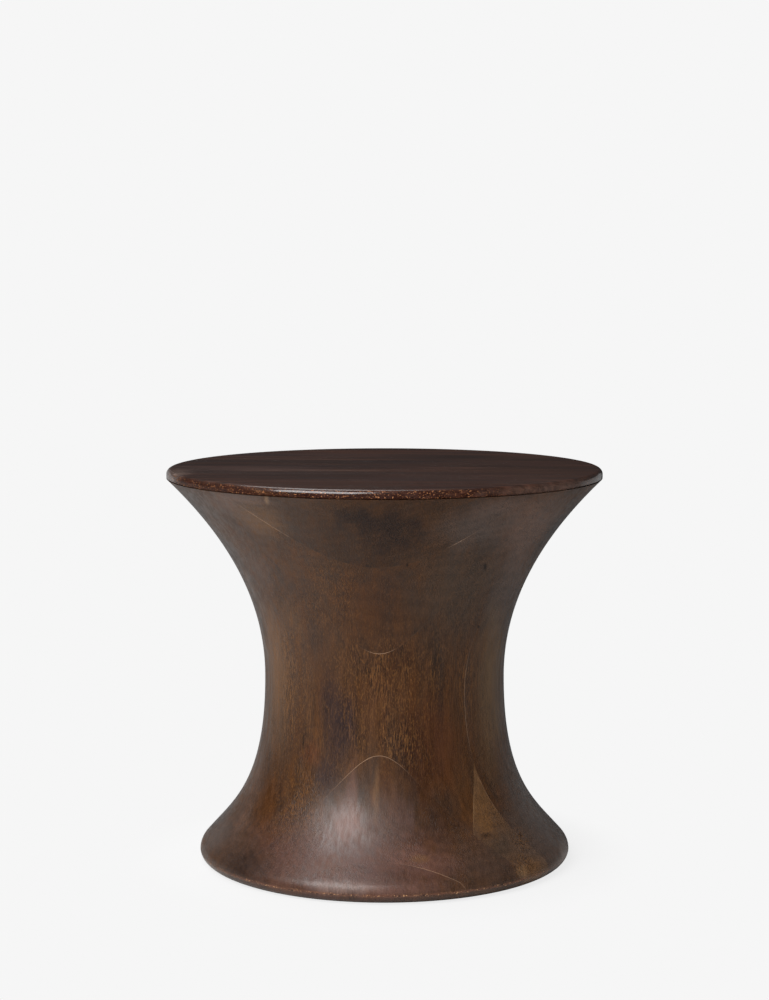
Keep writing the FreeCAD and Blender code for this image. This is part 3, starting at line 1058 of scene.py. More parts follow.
@dataclass(frozen=True)
class PedestalWood(StainedWood):
    """The pedestal's wood, worn along the crease of its foot."""

    name: str = "pedestal wood"
    marks: Tuple[Mark, ...] = PEDESTAL_MARKS_AND_PAINTED_LIGHT
    figured: Tuple[Patch, ...] = FIGURED_PATCHES
    glue_lines: Tuple[GlueLine, ...] = GLUE_LINES
    along_x: bool = False
    dark: Colour = display(52, 35, 24)
    middle: Colour = display(72, 47, 28)
    warm: Colour = display(82, 48, 18)
    pore: Colour = display(28, 16, 9)
    fleck: Colour = display(128, 84, 36)
    glue: Colour = display(172, 138, 110)
    rub: Colour = display(108, 68, 48)
    bare: Colour = display(200, 152, 104)
    cool: Colour = display(50, 42, 39)
    sheen: float = 0.39
    sheen_spread: float = 0.20
    glue_share: float = 0.60
    glue_half_width: float = 0.00013
    edge_coat: float = 0.75
    crease_z: float = 0.0112
    crease_reach: float = 0.0026
    worn_from_y: float = -0.050
    worn_to_y: float = -0.150
    back_from_y: float = 0.0205

    def mark_place(self, graph: Graph, place: Socket) -> Socket:
        """Half a turn on for the boards behind the core, so that the back has the front's marks, its painted
        highlights, reflections and shade among them.

        Args:
            graph: The material's graph.
            place: Object coordinates.

        Returns:
            The place that marks are read at.
        """
        behind = graph.math("GREATER_THAN", graph.split(place)[1], self.back_from_y)
        sign = graph.times_plus(behind, -2.0, 1.0)
        return graph.vector("MULTIPLY", place, graph.combine(sign, sign, 1.0))

    def edge_band(self, graph: Graph, place: Socket) -> Socket:
        """A thin band along the foot's crease, at the front and the back.

        Args:
            graph: The material's graph.
            place: Object coordinates.

        Returns:
            The band's mask.
        """
        _, along, up = graph.split(self.mark_place(graph, place))
        crease = graph.fade(graph.apart(up, self.crease_z), self.crease_reach, 0.0)
        return graph.times(crease, graph.fade(along, self.worn_from_y, self.worn_to_y, self.wear_rest, 1.0))

    def gloss_band(self, graph: Graph, place: Socket) -> Socket:
        """The bevel below the crease of the foot."""
        above, below = self.crease_z + self.crease_reach, self.crease_z - self.crease_reach
        return graph.fade(graph.split(place)[2], above, below)


@dataclass(frozen=True)
class SeatWood(StainedWood):
    """The seat's wood, worn around its rim."""

    name: str = "seat wood"
    marks: Tuple[Mark, ...] = SEAT_MARKS_AND_PAINTED_LIGHT
    along_x: bool = True
    dark: Colour = display(36, 25, 23)
    middle: Colour = display(58, 38, 31)
    warm: Colour = display(82, 46, 31)
    pore: Colour = display(24, 14, 11)
    fleck: Colour = display(92, 62, 46)
    glue: Colour = display(96, 74, 66)
    rub: Colour = display(44, 17, 8)
    bare: Colour = display(172, 116, 76)
    cool: Colour = display(32, 28, 31)
    band_share: float = 0.85
    specular: float = 0.16
    sheen: float = 0.36
    sheen_spread: float = 0.18
    glue_share: float = 0.30
    glue_half_width: float = 0.0012
    joint_rest: float = 1.0
    streak_depth: float = 0.46
    streak_sheen: float = 0.12
    streak_film: float = 0.20
    ring_depth: float = 0.10
    pore_share: float = 0.45
    fleck_share: float = 0.14
    coat: float = 0.28
    coat_rough: float = 0.12
    edge_coat: float = 1.0
    rim_start_r: float = 0.2474
    rim_end_r: float = 0.2500
    worn_to_x: float = 0.07
    sound_from_x: float = 0.16

    def edge_band(self, graph: Graph, place: Socket) -> Socket:
        """The rim, less worn towards its right."""
        wear = graph.fade(graph.split(place)[0], self.worn_to_x, self.sound_from_x, 1.0, self.wear_rest)
        return graph.times(self.gloss_band(graph, place), wear)

    def gloss_band(self, graph: Graph, place: Socket) -> Socket:
        """Everything outside the top's flat."""
        return graph.fade(graph.radius(place), self.rim_start_r, self.rim_end_r)


@dataclass(frozen=True)
class Plywood:
    """Bare plywood, with its plies showing on the edge."""

    name: str = "bare plywood"
    face: Colour = display(196, 160, 116)
    vein: Colour = display(160, 118, 76)
    seed: float = 3.0
    streak_step: Point = (0.35, 0.70)
    ply_pitch: float = 0.0030
    ply_step: Point = (0.0, 0.7)
    ply_share: float = 0.35
    rough_step: Point = (0.2, 0.8)
    rough: Point = (0.62, 0.74)
    bump: Point = (0.25, 0.0003)

    def material(self) -> Material:
        """The finished material.

        Returns:
            The material.
        """
        graph = Surface(self.name)
        place = graph.place()
        figure = WOOD_FIGURE.put(graph, {"Vector": graph.turned(place), "Seed": self.seed})
        wave = graph.sine(graph.times(graph.split(place)[2], math.tau / self.ply_pitch))
        plies = graph.fade(wave, *self.ply_step, 0.0, self.ply_share)
        grained = graph.blend(graph.fade(figure["Streak"], *self.streak_step), self.face, self.vein)
        return graph.dressed({
            "Base Color": graph.blend(plies, grained, self.vein),
            "Roughness": graph.fade(figure["Cloud"], *self.rough_step, *self.rough),
            "Normal": graph.bump(figure["Streak"], *self.bump),
        })


@dataclass(frozen=True)
class PlatedSteel:
    """Plated or polished steel."""

    name: str
    light: Colour
    dull: Colour
    sheen: float
    scratch: float
    scratch_reach: float = 0.0001

    def material(self) -> Material:
        """The finished material.

        Returns:
            The material.
        """
        graph = Surface(self.name)
        skin = METAL_SKIN.put(graph, {"Vector": graph.place(), "Sheen": self.sheen})
        return graph.dressed({
            "Base Color": graph.blend(skin["Cloud"], self.light, self.dull),
            "Roughness": skin["Roughness"],
            "Normal": graph.bump(skin["Height"], self.scratch, self.scratch_reach),
            "Metallic": 1.0,
        })


@dataclass(frozen=True)
class MouldedNylon:
    """Milky moulded plastic."""

    name: str = "moulded nylon"
    light: Colour = display(228, 224, 210)
    shade: Colour = display(206, 200, 182)
    cloud: Noise = Noise((120.0, 120.0, 120.0), 3.0)
    grain: Noise = Noise((1800.0, 1800.0, 1800.0))
    rough_step: Point = (0.2, 0.8)
    rough: Point = (0.38, 0.52)
    bump: Point = (0.15, 0.0001)

    def material(self) -> Material:
        """The finished material.

        Returns:
            The material.
        """
        graph = Surface(self.name)
        place = graph.place()
        cloud = graph.noise(place, self.cloud)
        return graph.dressed({
            "Base Color": graph.blend(cloud, self.light, self.shade),
            "Roughness": graph.fade(cloud, *self.rough_step, *self.rough),
            "Normal": graph.bump(graph.noise(place, self.grain), *self.bump),
        })


@dataclass(frozen=True)
class PressedFelt:
    """Dark felt with a fibrous face."""

    name: str = "pressed felt"
    light: Colour = display(92, 80, 72)
    shade: Colour = display(58, 48, 42)
    fibre: Noise = Noise((900.0, 900.0, 900.0), 4.0, 0.7, 1.2)
    fibre_step: Point = (0.3, 0.7)
    rough: float = 0.95
    fuzz: float = 0.35
    bump: Point = (0.8, 0.0004)

    def material(self) -> Material:
        """The finished material.

        Returns:
            The material.
        """
        graph = Surface(self.name)
        fibre = graph.noise(graph.place(), self.fibre)
        return graph.dressed({
            "Base Color": graph.blend(graph.fade(fibre, *self.fibre_step), self.shade, self.light),
            "Normal": graph.bump(fibre, *self.bump),
            "Roughness": self.rough,
            "Sheen Weight": self.fuzz,
        })


@dataclass
class Stop:
    """A point of a profile, with the handles by which a curve arrives at it and leaves it."""

    at: Sequence[float]
    before: Optional[Sequence[float]] = None
    after: Optional[Sequence[float]] = None


class Pen:
    """Draws a turned profile as Bezier points, in radius and height."""

    cubic_reach: float = 4.0 / 3.0

    def __init__(self, start: Point) -> None:
        """Starts the profile at a point."""
        self.stops: List[Stop] = [Stop(start)]

    def line(self, *ends: Sequence[float]) -> Pen:
        """Adds straight sides, one to each point."""
        self.stops.extend(Stop(end) for end in ends)
        return self

    def curve(self, leave: Sequence[float], arrive: Sequence[float], end: Sequence[float]) -> Pen:
        """Adds a cubic curve.

        Args:
            leave: The handle that it leaves the last point by.
            arrive: The handle that it arrives by.
            end: Its end.

        Returns:
            The pen.
        """
        self.stops[-1].after = leave
        self.stops.append(Stop(end, arrive))
        return self

    def arc(self, centre: Point, start_angle: float, end_angle: float) -> Pen:
        """Adds a round stretch of at most a quarter turn.

        Args:
            centre: The middle of the circle.
            start_angle: Where the last point lies on it, in radians from outward.
            end_angle: Where the stretch ends.

        Returns:
            The pen.
        """
        at = self.stops[-1].at
        radius = math.hypot(at[0] - centre[0], at[1] - centre[1])
        reach = self.cubic_reach * math.tan((end_angle - start_angle) / 4.0) * radius
        end = (centre[0] + radius * math.cos(end_angle), centre[1] + radius * math.sin(end_angle))
        leave = (at[0] - reach * math.sin(start_angle), at[1] + reach * math.cos(start_angle))
        arrive = (end[0] + reach * math.sin(end_angle), end[1] - reach * math.cos(end_angle))
        return self.curve(leave, arrive, end)

    def draw(self, name: str, steps: int) -> Object:
        """Makes the profile a curve object.

        Args:
            name: The curve's name.
            steps: How many edges a curved stretch gets.

        Returns:
            The object, with radius along X and height along Y.
        """
        curve = bpy.data.curves.new(name, "CURVE")
        curve.dimensions = "3D"
        spline = curve.splines.new("BEZIER")
        spline.resolution_u = steps
        spline.bezier_points.add(len(self.stops) - 1)
        for point, stop in zip(spline.bezier_points, self.stops):
            point.co = (*stop.at, 0.0)
            point.handle_left_type = "FREE" if stop.before else "VECTOR"
            point.handle_right_type = "FREE" if stop.after else "VECTOR"
        for point, stop in zip(spline.bezier_points, self.stops):
            if stop.before:
                point.handle_left = (*stop.before, 0.0)
            if stop.after:
                point.handle_right = (*stop.after, 0.0)
        return linked(name, curve)


class GeometryTree(NodeGroup):
    """A Geometry Nodes tree that turns one object into a plain mesh."""

    tree_type = "GeometryNodeTree"

    @staticmethod
    def dressed(graph: Graph, geometry: Socket, material: Socket) -> Socket:
        """What a tree has made, as plain geometry with its material."""
        real = graph.made("GeometryNodeRealizeInstances", {"Geometry": geometry})
        return graph.made("GeometryNodeSetMaterial", {"Geometry": real, "Material": material})

    def apply(self, source: Object, values: Mapping[str, Any]) -> Mesh:
        """Runs the tree on an object, which is then removed.

        Args:
            source: The object that the tree starts from.
            values: The tree's inputs, by name.

        Returns:
            The mesh that the tree makes.
        """
        modifier = source.modifiers.new(self.title, "NODES")
        modifier.node_group = self.tree()
        for item in modifier.node_group.interface.items_tree:
            if item.in_out == "INPUT" and item.name in values:
                modifier[item.identifier] = values[item.name]
        mesh = evaluated_mesh(source)
        bpy.data.objects.remove(source)
        return mesh


class TurnedForm(GeometryTree):
    """Turns a profile curve around the axis."""

    title = "turned form"
    inputs = (("Profile", Kind.GEOMETRY), ("Sides", Kind.COUNT), ("Material", Kind.MATERIAL))
    outputs = (("Form", Kind.GEOMETRY),)

    path_radius: float = 1.0
    axis_weld: float = 1e-5

    def wire(self, graph: Graph, given: Sockets) -> Wiring:
        """Sweeps the profile along a circle, so that its radius is measured from the axis.

        Args:
            graph: The tree's own graph.
            given: The profile, the number of sides and the material.

        Returns:
            The turned form.
        """
        size = {"Resolution": given["Sides"], "Radius": self.path_radius}
        placed = graph.made("GeometryNodeTransform", {
            "Geometry": given["Profile"],
            "Translation": (-self.path_radius, 0.0, 0.0),
            "Scale": (1.0, -1.0, 1.0),
        })
        swept = graph.made("GeometryNodeCurveToMesh", {
            "Curve": graph.made("GeometryNodeCurvePrimitiveCircle", size),
            "Profile Curve": placed,
        })
        welded = graph.made("GeometryNodeMergeByDistance", {"Geometry": swept, "Distance": self.axis_weld})
        smooth = graph.made("GeometryNodeSetShadeSmooth", {"Geometry": welded})
        return {"Form": self.dressed(graph, smooth, given["Material"])}

    def turn(self, name: str, pen: Pen, steps: int, sides: int, material: Material) -> Mesh:
        """Turns a pen's profile, with so many edges to a curve and so many sides around the axis."""
        return self.apply(pen.draw(name, steps), {"Sides": sides, "Material": material})


@dataclass(frozen=True)
class Ring:
    """Where a ring of equal pieces lies."""

    count: int
    radius: float
    height: float
    start_deg: float = 0.0


class RingOfPieces(GeometryTree):
    """Copies one piece around the axis, evenly spaced at one height."""

    title = "ring of pieces"
    inputs = (("Piece", Kind.GEOMETRY), ("Count", Kind.COUNT),
              *value_sockets("Circle Radius", "Start Angle", "Height"), ("Material", Kind.MATERIAL))
    outputs = (("Ring", Kind.GEOMETRY),)

    def wire(self, graph: Graph, given: Sockets) -> Wiring:
        """Puts the piece on the corners of a circle, then turns and lifts the circle.

        Args:
            graph: The tree's own graph.
            given: The piece, the number of copies, the circle's sizes and the material.

        Returns:
            The copies.
        """
        size = {"Vertices": given["Count"], "Radius": given["Circle Radius"]}
        corners = graph.made("GeometryNodeMeshCircle", size)
        copies = graph.made("GeometryNodeInstanceOnPoints", {"Points": corners, "Instance": given["Piece"]})
        placed = graph.made("GeometryNodeTransform", {
            "Geometry": copies,
            "Translation": graph.combine(0.0, 0.0, given["Height"]),
            "Rotation": graph.combine(0.0, 0.0, given["Start Angle"]),
        })
        return {"Ring": self.dressed(graph, placed, given["Material"])}

    def copies(self, piece: Mesh, ring: Ring, material: Material) -> Mesh:
        """Copies a piece around a ring.

        Args:
            piece: The piece's mesh, around the origin.
            ring: Where the copies lie.
            material: Their material.

        Returns:
            One mesh of all copies.
        """
        return self.apply(linked(piece.name, piece), {
            "Count": ring.count,
            "Circle Radius": ring.radius,
            "Start Angle": math.radians(ring.start_deg),
            "Height": ring.height,
            "Material": material,
        })


class ScrewThread(GeometryTree):
    """Winds a thread around a screw's core."""

    title = "screw thread"
    inputs = (("Core", Kind.GEOMETRY), *value_sockets("Turns", "Crest Radius", "Length", "Start", "Ridge"),
              ("Material", Kind.MATERIAL))
    outputs = (("Screw", Kind.GEOMETRY),)

    steps: int = 96
    ridge_sides: int = 3

    def wire(self, graph: Graph, given: Sockets) -> Wiring:
        """Sweeps a three-sided ridge along a spiral and joins it to the core.

        Args:
            graph: The tree's own graph.
            given: The core, the thread's sizes and the material.

        Returns:
            The screw.
        """
        middle = graph.minus(given["Crest Radius"], given["Ridge"])
        spiral = graph.made("GeometryNodeCurveSpiral", {
            "Resolution": self.steps,
            "Rotations": given["Turns"],
            "Start Radius": middle,
            "End Radius": middle,
            "Height": given["Length"],
        })
        start = graph.combine(0.0, 0.0, given["Start"])
        size = {"Resolution": self.ridge_sides, "Radius": given["Ridge"]}
        thread = graph.made("GeometryNodeCurveToMesh", {
            "Curve": graph.made("GeometryNodeTransform", {"Geometry": spiral, "Translation": start}),
            "Profile Curve": graph.made("GeometryNodeCurvePrimitiveCircle", size),
            "Fill Caps": True,
        })
        whole = graph.add("GeometryNodeJoinGeometry", {"Geometry": given["Core"]})
        graph.feed(whole.inputs["Geometry"], thread)
        return {"Screw": self.dressed(graph, whole.outputs[0], given["Material"])}


TURNED_FORM = TurnedForm()
RING_OF_PIECES = RingOfPieces()
SCREW_THREAD = ScrewThread()


@dataclass(frozen=True)
class Cut:
    """A saw cut square to an axis: what lies beyond it, towards its outward sign, is taken off."""

    axis: Axis
    at: float
    outward: float

    def along(self, length: float) -> Vector:
        """A vector of some length along the cut's axis."""
        return Vector([length if number == self.axis.value else 0.0 for number in range(3)])

    def holds(self, edge: bmesh.types.BMEdge) -> bool:
        """Whether an edge lies in the plane of the cut."""
        return all(abs(vertex.co[self.axis.value] - self.at) < 2 * WELD for vertex in edge.verts)


def between(side: Side, near: float, far: Optional[float]) -> List[Cut]:
    """The cuts that leave one layer of the pedestal's stack.

    Args:
        side: The face of the stack that the layer is on.
        near: How far the layer's inner plane lies from the axis.
        far: How far its outer plane lies, or None if it ends at the turned surface.

    Returns:
        One or two cuts.
    """
    sign = side.value
    cuts = [Cut(Axis.Y, sign * near, -sign)]
    if far is not None:
        cuts.append(Cut(Axis.Y, sign * far, sign))
    return cuts


def sawn(whole: Mesh, name: str, cuts: Sequence[Cut]) -> Mesh:
    """Cuts one piece out of a whole turned form and closes it.

    Args:
        whole: The turned form.
        name: The name of the new mesh.
        cuts: The planes that bound the piece.

    Returns:
        A closed mesh with crisp edges at its cuts and corners.
    """
    work = bmesh.new()
    work.from_mesh(whole)
    for cut in cuts:
        found = [*work.verts, *work.edges, *work.faces]
        made = bmesh.ops.bisect_plane(work, geom=found, dist=WELD, plane_co=cut.along(cut.at),
                                      plane_no=cut.along(cut.outward), clear_outer=True)
        rim = [item for item in made["geom_cut"] if isinstance(item, bmesh.types.BMEdge)]
        bmesh.ops.edgeloop_fill(work, edges=rim)
    face_outwards(work)
    for edge in work.edges:
        if any(cut.holds(edge) for cut in cuts):
            edge.smooth = False
    mesh = as_mesh(name, work)
    for material in whole.materials:
        mesh.materials.append(material)
    return mesh


def add_piece(name: str, mesh: Mesh, body: Body, slot: Slot, node: str) -> None:
    """Adds a finished mesh as a piece of the stool.

    Args:
        name: The piece's name.
        mesh: Its mesh, in place.
        body: The body that it rides on.
        slot: The record's slot for its finish; not used.
        node: The node that it stands for.
    """
    piece = linked(name, mesh)
    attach(piece, body.value)
    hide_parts(node)
    log.info("built %s: %d faces, rides on %s", name, len(mesh.polygons), body.value)


def dress_node(node: str, material: Material) -> None:
    """Gives a node of the frame a better material."""
    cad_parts[node].material_slots[0].material = material
    log.info("dressed %s in %s", node, material.name)


@dataclass(frozen=True)
class Tone:
    """How light, how warm and how golden one board is."""

    light: float
    warmth: float
    gold: float = 0.0


def mark_board(mesh: Mesh, seed: float, tone: Tone) -> None:
    """Writes a board's seed and tone on its mesh.

    Args:
        mesh: The board's mesh.
        seed: Moves the grain, so that no two boards match.
        tone: The board's own lightness, warmth and gold.
    """
    values = {"seed": seed, "tone": tone.light, "warmth": tone.warmth, "gold": tone.gold}
    for name, value in values.items():
        attribute = mesh.attributes.new(f"board_{name}", "FLOAT", "POINT")
        attribute.data.foreach_set("value", [value] * len(mesh.vertices))


Layout = Iterator[Tuple[str, List[Cut]]]


@dataclass
class TurnedBoards:
    """A form that is turned whole and sawn into boards."""

    body: Body
    slot: Slot
    seed: int
    steps: int
    light: Point
    warmth: Point
    sides: int = 256
    board_seed: Point = (0.0, 9.0)

    def profile(self) -> Pen:
        """The form's closed profile."""
        raise NotImplementedError

    def layout(self) -> Layout:
        """Each board's node, with the cuts that leave it."""
        raise NotImplementedError

    def character(self, node: str, draw: random.Random) -> Tuple[float, Tone]:
        """A board's seed and tone, drawn in turn."""
        return draw.uniform(*self.board_seed), Tone(draw.uniform(*self.light), draw.uniform(*self.warmth))

    def build(self, finish: StainedWood) -> None:
        """Turns the form, saws it into its boards and dresses each one.

        Args:
            finish: The wood of all boards.
        """
        draw = random.Random(self.seed)
        whole = TURNED_FORM.turn(f"{self.body.value}_profile", self.profile(), self.steps, self.sides,
                                 finish.material())
        for node, cuts in self.layout():
            mesh = sawn(whole, f"{node}_wood", cuts)
            mark_board(mesh, *self.character(node, draw))
            add_piece(f"{node}_wood", mesh, self.body, self.slot, node)
        bpy.data.meshes.remove(whole)


def heading(angle: float) -> Vector:
    """A step of one in a profile, at an angle in radians from outward."""
    return Vector((math.cos(angle), math.sin(angle)))


@dataclass
class Pedestal(TurnedBoards):
    """The turned stack of upright boards and blocks."""

    body: Body = Body.PEDESTAL
    slot: Slot = Slot.PEDESTAL_WOOD
    seed: int = 41
    steps: int = 40
    light: Point = (0.86, 1.0)
    warmth: Point = (0.3, 0.65)
    base_z: float = 0.002
    foot_r: float = 0.2158
    foot_edge_h: float = 0.009
    foot_edge_in: float = 0.007
    foot_edge_bulge: float = 0.0016
    foot_round_r: float = 0.018
    waist_r: float = 0.139
    waist_z: float = 0.216
    rim_r: float = 0.2509
    rim_z: float = 0.4466
    recess_r: float = 0.150
    ledge_z: float = 0.4024
    upper_waist_handle: float = 0.091
    upper_rim_handle: float = 0.091
    upper_flare: float = math.radians(45.4)
    lower_waist_handle: float = 0.128
    lower_foot_handle: float = 0.0495
    lower_flare: float = math.radians(41.4)
    board: float = 0.041
    inner_boards: int = 3
    core_half_x: float = 0.060
    strip_x: float = 0.1045
    rim_seams: Tuple[float, ...] = (0.1435, 0.1845, 0.2255)
    foot_seams: Tuple[float, ...] = (0.1435, 0.1930)
    tones: Dict[str, Tone] = field(default_factory=lambda: {
        "front_board_3": Tone(0.92, 0.75),
        "front_board_3_strip_lower": Tone(0.95, 0.60, 0.55),
        "front_board_3_strip_upper": Tone(0.92, 0.40),
        "front_board_2": Tone(0.98, 0.55),
        "front_block_4_upper": Tone(0.94, 0.65),
        "front_block_5_upper": Tone(0.88, 0.30),
        "front_block_6_upper": Tone(0.88, 0.25),
        "front_block_4_lower": Tone(0.98, 0.60),
        "front_block_5_lower": Tone(0.98, 0.55),
    })

    def profile(self) -> Pen:
        """The closed profile, from the base up to the rim and down into the recess.

        Returns:
            The pen that draws it.
        """
        base = Vector((self.foot_r - self.foot_edge_in, self.base_z))
        foot = Vector((self.foot_r, self.base_z + self.foot_edge_h))
        third = (foot - base) / 3.0
        bulge = Vector((third.y, -third.x)).normalized() * self.foot_edge_bulge * Pen.cubic_reach
        centre = (self.foot_r - self.foot_round_r, foot.y)
        flare_end = Vector(centre) + self.foot_round_r * heading(self.lower_flare)
        up_the_foot = heading(QUARTER_TURN + self.lower_flare) * self.lower_foot_handle
        down_the_rim = heading(-QUARTER_TURN - self.upper_flare) * self.upper_rim_handle
        rim = Vector((self.rim_r, self.rim_z))
        waist = Vector((self.waist_r, self.waist_z))
        below = Vector((self.waist_r, self.waist_z - self.lower_waist_handle))
        above = Vector((self.waist_r, self.waist_z + self.upper_waist_handle))
        pen = Pen((0.0, self.base_z)).line(base)
        pen.curve(base + third + bulge, foot - third + bulge, foot)
        pen.arc(centre, 0.0, self.lower_flare)
        pen.curve(flare_end + up_the_foot, below, waist)
        pen.curve(above, rim + down_the_rim, rim)
        return pen.line((self.recess_r, self.rim_z), (self.recess_r, self.ledge_z), (0.0, self.ledge_z))

    def layout(self) -> Layout:
        """Each node of the stack, with the cuts that leave it.

        Yields:
            The node and its cuts.
        """
        left = Cut(Axis.X, -self.core_half_x, 1.0)
        right = Cut(Axis.X, self.core_half_x, -1.0)
        inside_strip = Cut(Axis.X, self.strip_x, 1.0)
        outside_strip = Cut(Axis.X, self.strip_x, -1.0)
        above = Cut(Axis.Z, self.waist_z, -1.0)
        below = Cut(Axis.Z, self.waist_z, 1.0)
        half = self.board / 2.0
        core = [Cut(Axis.Y, -half, -1.0), Cut(Axis.Y, half, 1.0)]
        yield "core_board_left", [*core, left]
        yield "core_board_right", [*core, right]
        for side in Side:
            face = side.name.lower()
            first, second, third = (between(side, half + self.board * step, half + self.board * (step + 1))
                                    for step in range(self.inner_boards))
            yield f"{face}_board_1_left", [*first, left]
            yield f"{face}_board_1_right", [*first, right]
            yield f"{face}_board_2", second
            if side is Side.FRONT:
                yield f"{face}_board_3", [*third, inside_strip]
                yield f"{face}_board_3_strip_upper", [*third, outside_strip, above]
                yield f"{face}_board_3_strip_lower", [*third, outside_strip, below]
            else:
                yield f"{face}_board_3", third
            for seams, level, keep in ((self.rim_seams, "upper", above), (self.foot_seams, "lower", below)):
                for number, (near, far) in enumerate(zip(seams, (*seams[1:], None)), self.inner_boards + 1):
                    yield f"{face}_block_{number}_{level}", [*between(side, near, far), keep]

    def joints(self) -> Tuple[float, ...]:
        """Where the glue planes lie along Y that run the whole height of the front and back.

        Returns:
            The planes, from front to back.
        """
        inner = [self.board * (step + 0.5) for step in range(self.inner_boards)]
        planes = {*inner, *self.rim_seams, *self.foot_seams}
        return tuple(sorted(sign * plane for plane in planes for sign in (-1.0, 1.0)))

    def character(self, node: str, draw: random.Random) -> Tuple[float, Tone]:
        """A board's drawn seed and, if it has none of its own, its drawn tone."""
        plain = Tone(draw.uniform(*self.light), draw.uniform(*self.warmth))
        return draw.uniform(*self.board_seed), self.tones.get(node, plain)


@dataclass
class Seat(TurnedBoards):
    """The thin round seat of edge-glued boards."""

    body: Body = Body.SEAT
    slot: Slot = Slot.SEAT_WOOD
    seed: int = 7
    steps: int = 12
    light: Point = (0.85, 1.1)
    warmth: Point = (0.3, 0.7)
    radius: float = 0.251
    low_z: float = 0.447
    top_z: float = 0.457
    top_round: float = 0.0058
    chamfer: float = 0.001
    boards: int = 6

    def profile(self) -> Pen:
        """The disc's profile, with its eased lower edge and rounded upper one.

        Returns:
            The pen that draws it.
        """
        inner, shoulder = self.radius - self.top_round, self.top_z - self.top_round
        pen = Pen((0.0, self.low_z)).line((self.radius - self.chamfer, self.low_z))
        pen.line((self.radius, self.low_z + self.chamfer), (self.radius, shoulder))
        return pen.arc((inner, shoulder), 0.0, QUARTER_TURN).line((0.0, self.top_z))

    def joints(self) -> Tuple[float, ...]:
        """Where the glue planes lie along Y."""
        width = 2.0 * self.radius / self.boards
        return tuple(width * index - self.radius for index in range(1, self.boards))

    def layout(self) -> Layout:
        """Each board of the seat, with the cuts that leave it.

        Yields:
            The node and its cuts.
        """
        joints = self.joints()
        for index in range(self.boards):
            near = [Cut(Axis.Y, joint, -1.0) for joint in joints[max(index - 1, 0):index]]
            far = [Cut(Axis.Y, joint, 1.0) for joint in joints[index:index + 1]]
            yield f"seat_board_{index + 1}", [*near, *far]


class Head(Enum):
    """How a screw's head sits."""

    FLUSH = "flush"
    PAN = "pan"


@dataclass(frozen=True)
class ScrewSet:
    """One ring of equal screws."""

    node: str
    body: Body
    head: Head
    length: float
    ring: Ring
    points_up: bool


